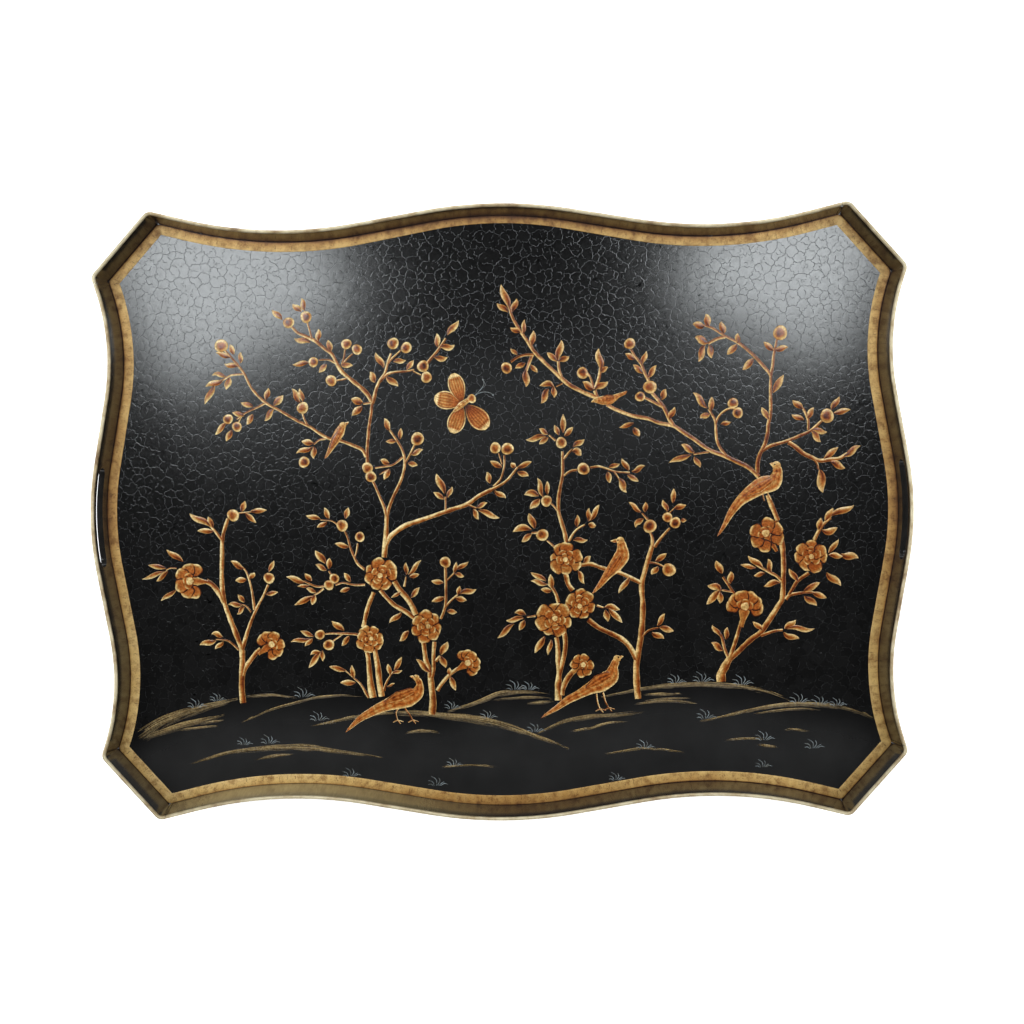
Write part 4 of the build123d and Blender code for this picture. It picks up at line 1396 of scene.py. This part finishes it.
GRASS = [
    (-284, -177), (-264, -171), (-185, -168), (-171, -190), (-240, -212), (-217, -211), (-142, -242),
    (-48, -180), (-47, -233), (-63, -251), (10, -163), (23, -163), (-15, -189), (28, -202),
    (128, -218), (102, -247), (157, -158), (181, -157), (217, -160), (269, -177), (288, -179),
    (304, -180), (184, -191), (237, -211), (236, -236), (282, -219),
]
VEIL_EDGE = srgb(28, 27, 25)
VEIL_SIDE = srgb(42, 38, 30)
VEIL = np.array([VEIL_EDGE, VEIL_SIDE, OLIVE_SHADE, OLIVE_SHADE, OLIVE_SHADE, VEIL_SIDE, VEIL_EDGE])


def wet_stretches(wet):
    """The first and last index of each unbroken stretch of paint that is long enough to show."""
    found, start = [], None
    for i, now in enumerate(wet):
        if now and start is None:
            start = i
        if start is not None and (not now or i == len(wet) - 1):
            if i - start >= 2:
                found.append((start, i))
            start = None
    return found


def hairline(film, rng, line, width, place, level):
    """The broken line left by one hair of a brush; place runs across the brush from -0.5 to 0.5."""
    run = run_along(line)
    share = run / run[-1]
    load = wander(rng, run, 9.0) + 0.85 - 1.3 * place ** 2 + 0.7 * place - 0.5 * (share > 0.9)
    drift = 0.3 * wander(rng, run, 16.0)
    hair = line + sides_of(line) * (place * width + drift)[:, None]
    tone = (0.25 + 0.75 * rng.uniform(0.0, 1.0)) * min(1.0, 0.62 + 1.1 * place)
    touch, lift = rng.uniform(-0.06, 0.14), rng.uniform(0.72, 1.06)
    for start, end in wet_stretches((load > 0.3) & (touch < share) & (share < lift)):
        piece = hair[start:end + 1]
        t = np.linspace(0, 1, len(piece))
        half = rng.uniform(0.13, 0.28) * np.sin(math.pi * np.clip(t, 0.04, 0.96)) ** 0.5
        tints = mix(OLIVE_SHADE * 0.7, OLIVE_GOLD * 1.1, tone * np.sin(math.pi * t) ** 0.5)
        ribbon(film, piece, half, level, 0.05, tints[:, None])


def dry_strokes():
    """Streaks left by a nearly dry brush: bundles of broken hairlines over a dark veil."""
    rng = random.Random(SEED + 2)
    film = Film("painted_ground_strokes")
    for first, middle, last, points in DRY_STROKES:
        line = curve_through(points, 2.0)
        run = run_along(line)
        share = run / run[-1]
        width = np.interp(share, [0, 0.5, 1], [first, middle, last]) * 1.25 + 0.4
        soft_ends = np.sin(math.pi * np.clip(share, 0.0, 1.0)) ** 0.6 + 0.02
        reach = width * (0.34 + 0.06 * wander(rng, run, 12.0)) * soft_ends
        ribbon(film, line, reach, STROKE_LEVEL - 0.03, 0.01, VEIL)
        hairs = max(5, int((middle + 0.4) / 0.24))
        for h in range(hairs):
            place = (h + rng.uniform(0.1, 0.9)) / hairs - 0.5
            hairline(film, rng, line, width, place, STROKE_LEVEL - 0.02 + 0.01 * (h % 4))
    return film


# A blade is where it starts beside its tuft and how far it goes. The last two are the commas.
BLADES = [(1.5, 0, -6, 11), (-1, 0, -7, 6), (2.5, 0.5, 1.5, 9), (-2, -0.5, -6, 2),
          (4, 0, 6.5, 4.5), (6, 0, 8.5, 1.5)]


def grass():
    """Tufts of pale arched blades with small commas beside them."""
    rng = random.Random(SEED + 3)
    film = Film("painted_grass")
    for tuft in GRASS:
        size = rng.uniform(0.65, 0.9)
        for x0, y0, dx, dy in BLADES:
            foot = np.array(tuft) + np.array([x0, y0]) * size
            tip = foot + np.array([dx, dy]) * size
            middle = (foot + tip) / 2 + np.array([0.25 * abs(dy), 0.22 * abs(dx)]) * size
            line = curve_through([foot, middle, tip], 1.2)
            t = np.linspace(0, 1, len(line))
            half = 0.34 * np.sin(math.pi * (0.08 + 0.84 * t)) ** 0.7
            ribbon(film, line, half, STROKE_LEVEL + 0.05, 0.06, GRASS_WHITE * rng.uniform(0.5, 1.0))
    return film


# ---------------------------------------------------------------- camera, light and floor

CAMERA_PLACE = (0.0363, 0.0821, 1.6791)
CAMERA_TILT_X = math.radians(2.699)
CAMERA_TILT_Y = math.radians(-1.524)
CAMERA_ROLL = math.radians(0.686)
CAMERA_LENS = 64.6
CAMERA_SHIFT = (0.0201, -0.0028)
WHITE = (1, 1, 1)
COOL_WHITE = (0.93, 0.98, 1.0)
STUDIO_REACH = 20.0


def make_camera():
    data = bpy.data.cameras.new("camera")
    data.sensor_width = 36.0
    data.lens = CAMERA_LENS
    data.shift_x, data.shift_y = CAMERA_SHIFT
    data.clip_start = 0.05
    data.clip_end = STUDIO_REACH
    camera = bpy.data.objects.new("camera", data)
    turn = (
        Matrix.Rotation(CAMERA_ROLL, 3, "Z")
        @ Matrix.Rotation(CAMERA_TILT_X, 3, "X")
        @ Matrix.Rotation(CAMERA_TILT_Y, 3, "Y")
    ).transposed()
    camera.matrix_world = Matrix.Translation(CAMERA_PLACE) @ turn.to_4x4()
    bpy.context.scene.collection.objects.link(camera)
    bpy.context.scene.camera = camera


def area_light(name, place, aim, size, power, colour=WHITE, turn=0.0):
    data = bpy.data.lights.new(name, "AREA")
    data.shape = "RECTANGLE"
    data.size, data.size_y = size
    data.energy = power
    data.color = colour
    light = bpy.data.objects.new(name, data)
    light.location = place
    light.rotation_mode = "QUATERNION"
    aimed = (Vector(aim) - Vector(place)).to_track_quat("-Z", "Y")
    light.rotation_quaternion = aimed @ Quaternion((0, 0, 1), turn)
    bpy.context.scene.collection.objects.link(light)


def make_lights():
    """Softboxes over the tray, whose reflections show in the lacquer, and wide ones round it."""
    area_light("left_softbox", (-0.51, 0.365, 1.5), (-0.28, 0.2, 0), (0.34, 0.32), 4.5, COOL_WHITE, -0.5)
    area_light("right_softbox", (0.465, 0.37, 1.5), (0.28, 0.2, 0), (0.29, 0.28), 3.6, COOL_WHITE, 0.4)
    area_light("overhead_strip", (-0.03, 0.105, 1.5), (-0.03, 0.105, 0), (1.1, 0.2), 0.3, COOL_WHITE)
    area_light("front_softbox", (0.0, -1.9, 1.6), (0, 0, 0), (1.6, 0.8), 10)
    area_light("back_softbox", (0.0, 2.1, 1.5), (0, 0, 0), (1.6, 0.8), 32)
    area_light("left_bank", (-2.0, 0.0, 1.5), (0, 0, 0), (1.0, 1.6), 28)
    area_light("right_bank", (2.0, 0.0, 1.5), (0, 0, 0), (1.0, 1.6), 28)


def make_world():
    """A white studio, bright at the horizon and nearly dark overhead."""
    world = bpy.data.worlds.new("studio")
    world.use_nodes = True
    w = Wiring(world.node_tree)
    back = w.nodes["Background"]
    back.inputs["Color"].default_value = (*WHITE, 1)
    height = w.axes(w.node("TexCoord", {}).outputs["Generated"])["Z"]
    w.wire(w.remap(height, 0.10, 0.36, 0.8, 0.08), back.inputs["Strength"])
    bpy.context.scene.world = world
    bpy.context.scene.view_settings.view_transform = "Standard"


def studio_white(_):
    """The floor's plain, slightly glowing white, which needs no wiring."""
    return {"Base Color": (0.92, 0.92, 0.92, 1), "Roughness": 0.9,
            "Emission Color": (*WHITE, 1), "Emission Strength": 0.75}


def make_floor():
    mesh = bpy.data.meshes.new("studio_floor")
    r = STUDIO_REACH
    mesh.from_pydata([(-r, -r, 0), (r, -r, 0), (r, r, 0), (-r, r, 0)], [], [(0, 1, 2, 3)])
    floor = bpy.data.objects.new("studio_floor", mesh)
    bpy.context.scene.collection.objects.link(floor)
    mesh.materials.append(make_material("studio_floor", studio_white))


finish_cad_nodes()
gilt_band().object(make_material("gilt_band_aged", aged_gilt), "gilt_paint")
lacquer = make_material("black_lacquer_crackled", crackled_lacquer)
for skin in lacquer_skin():
    skin.object(lacquer, "black_lacquer", smooth=False)
painted_ground().object(make_material("hill_paint", hill_paint), "black_lacquer")
paint = make_material("garden_paint", garden_paint)
dry_strokes().object(paint, "painted_scene")
grass().object(paint, "painted_scene")
for plant_name, plant_shapes in PLANTS.items():
    plant_film(plant_name, plant_shapes).object(paint, "painted_scene")
painted_birds().object(paint, "painted_scene")
butterfly().object(paint, "painted_scene")

make_camera()
make_world()
make_floor()
make_lights()
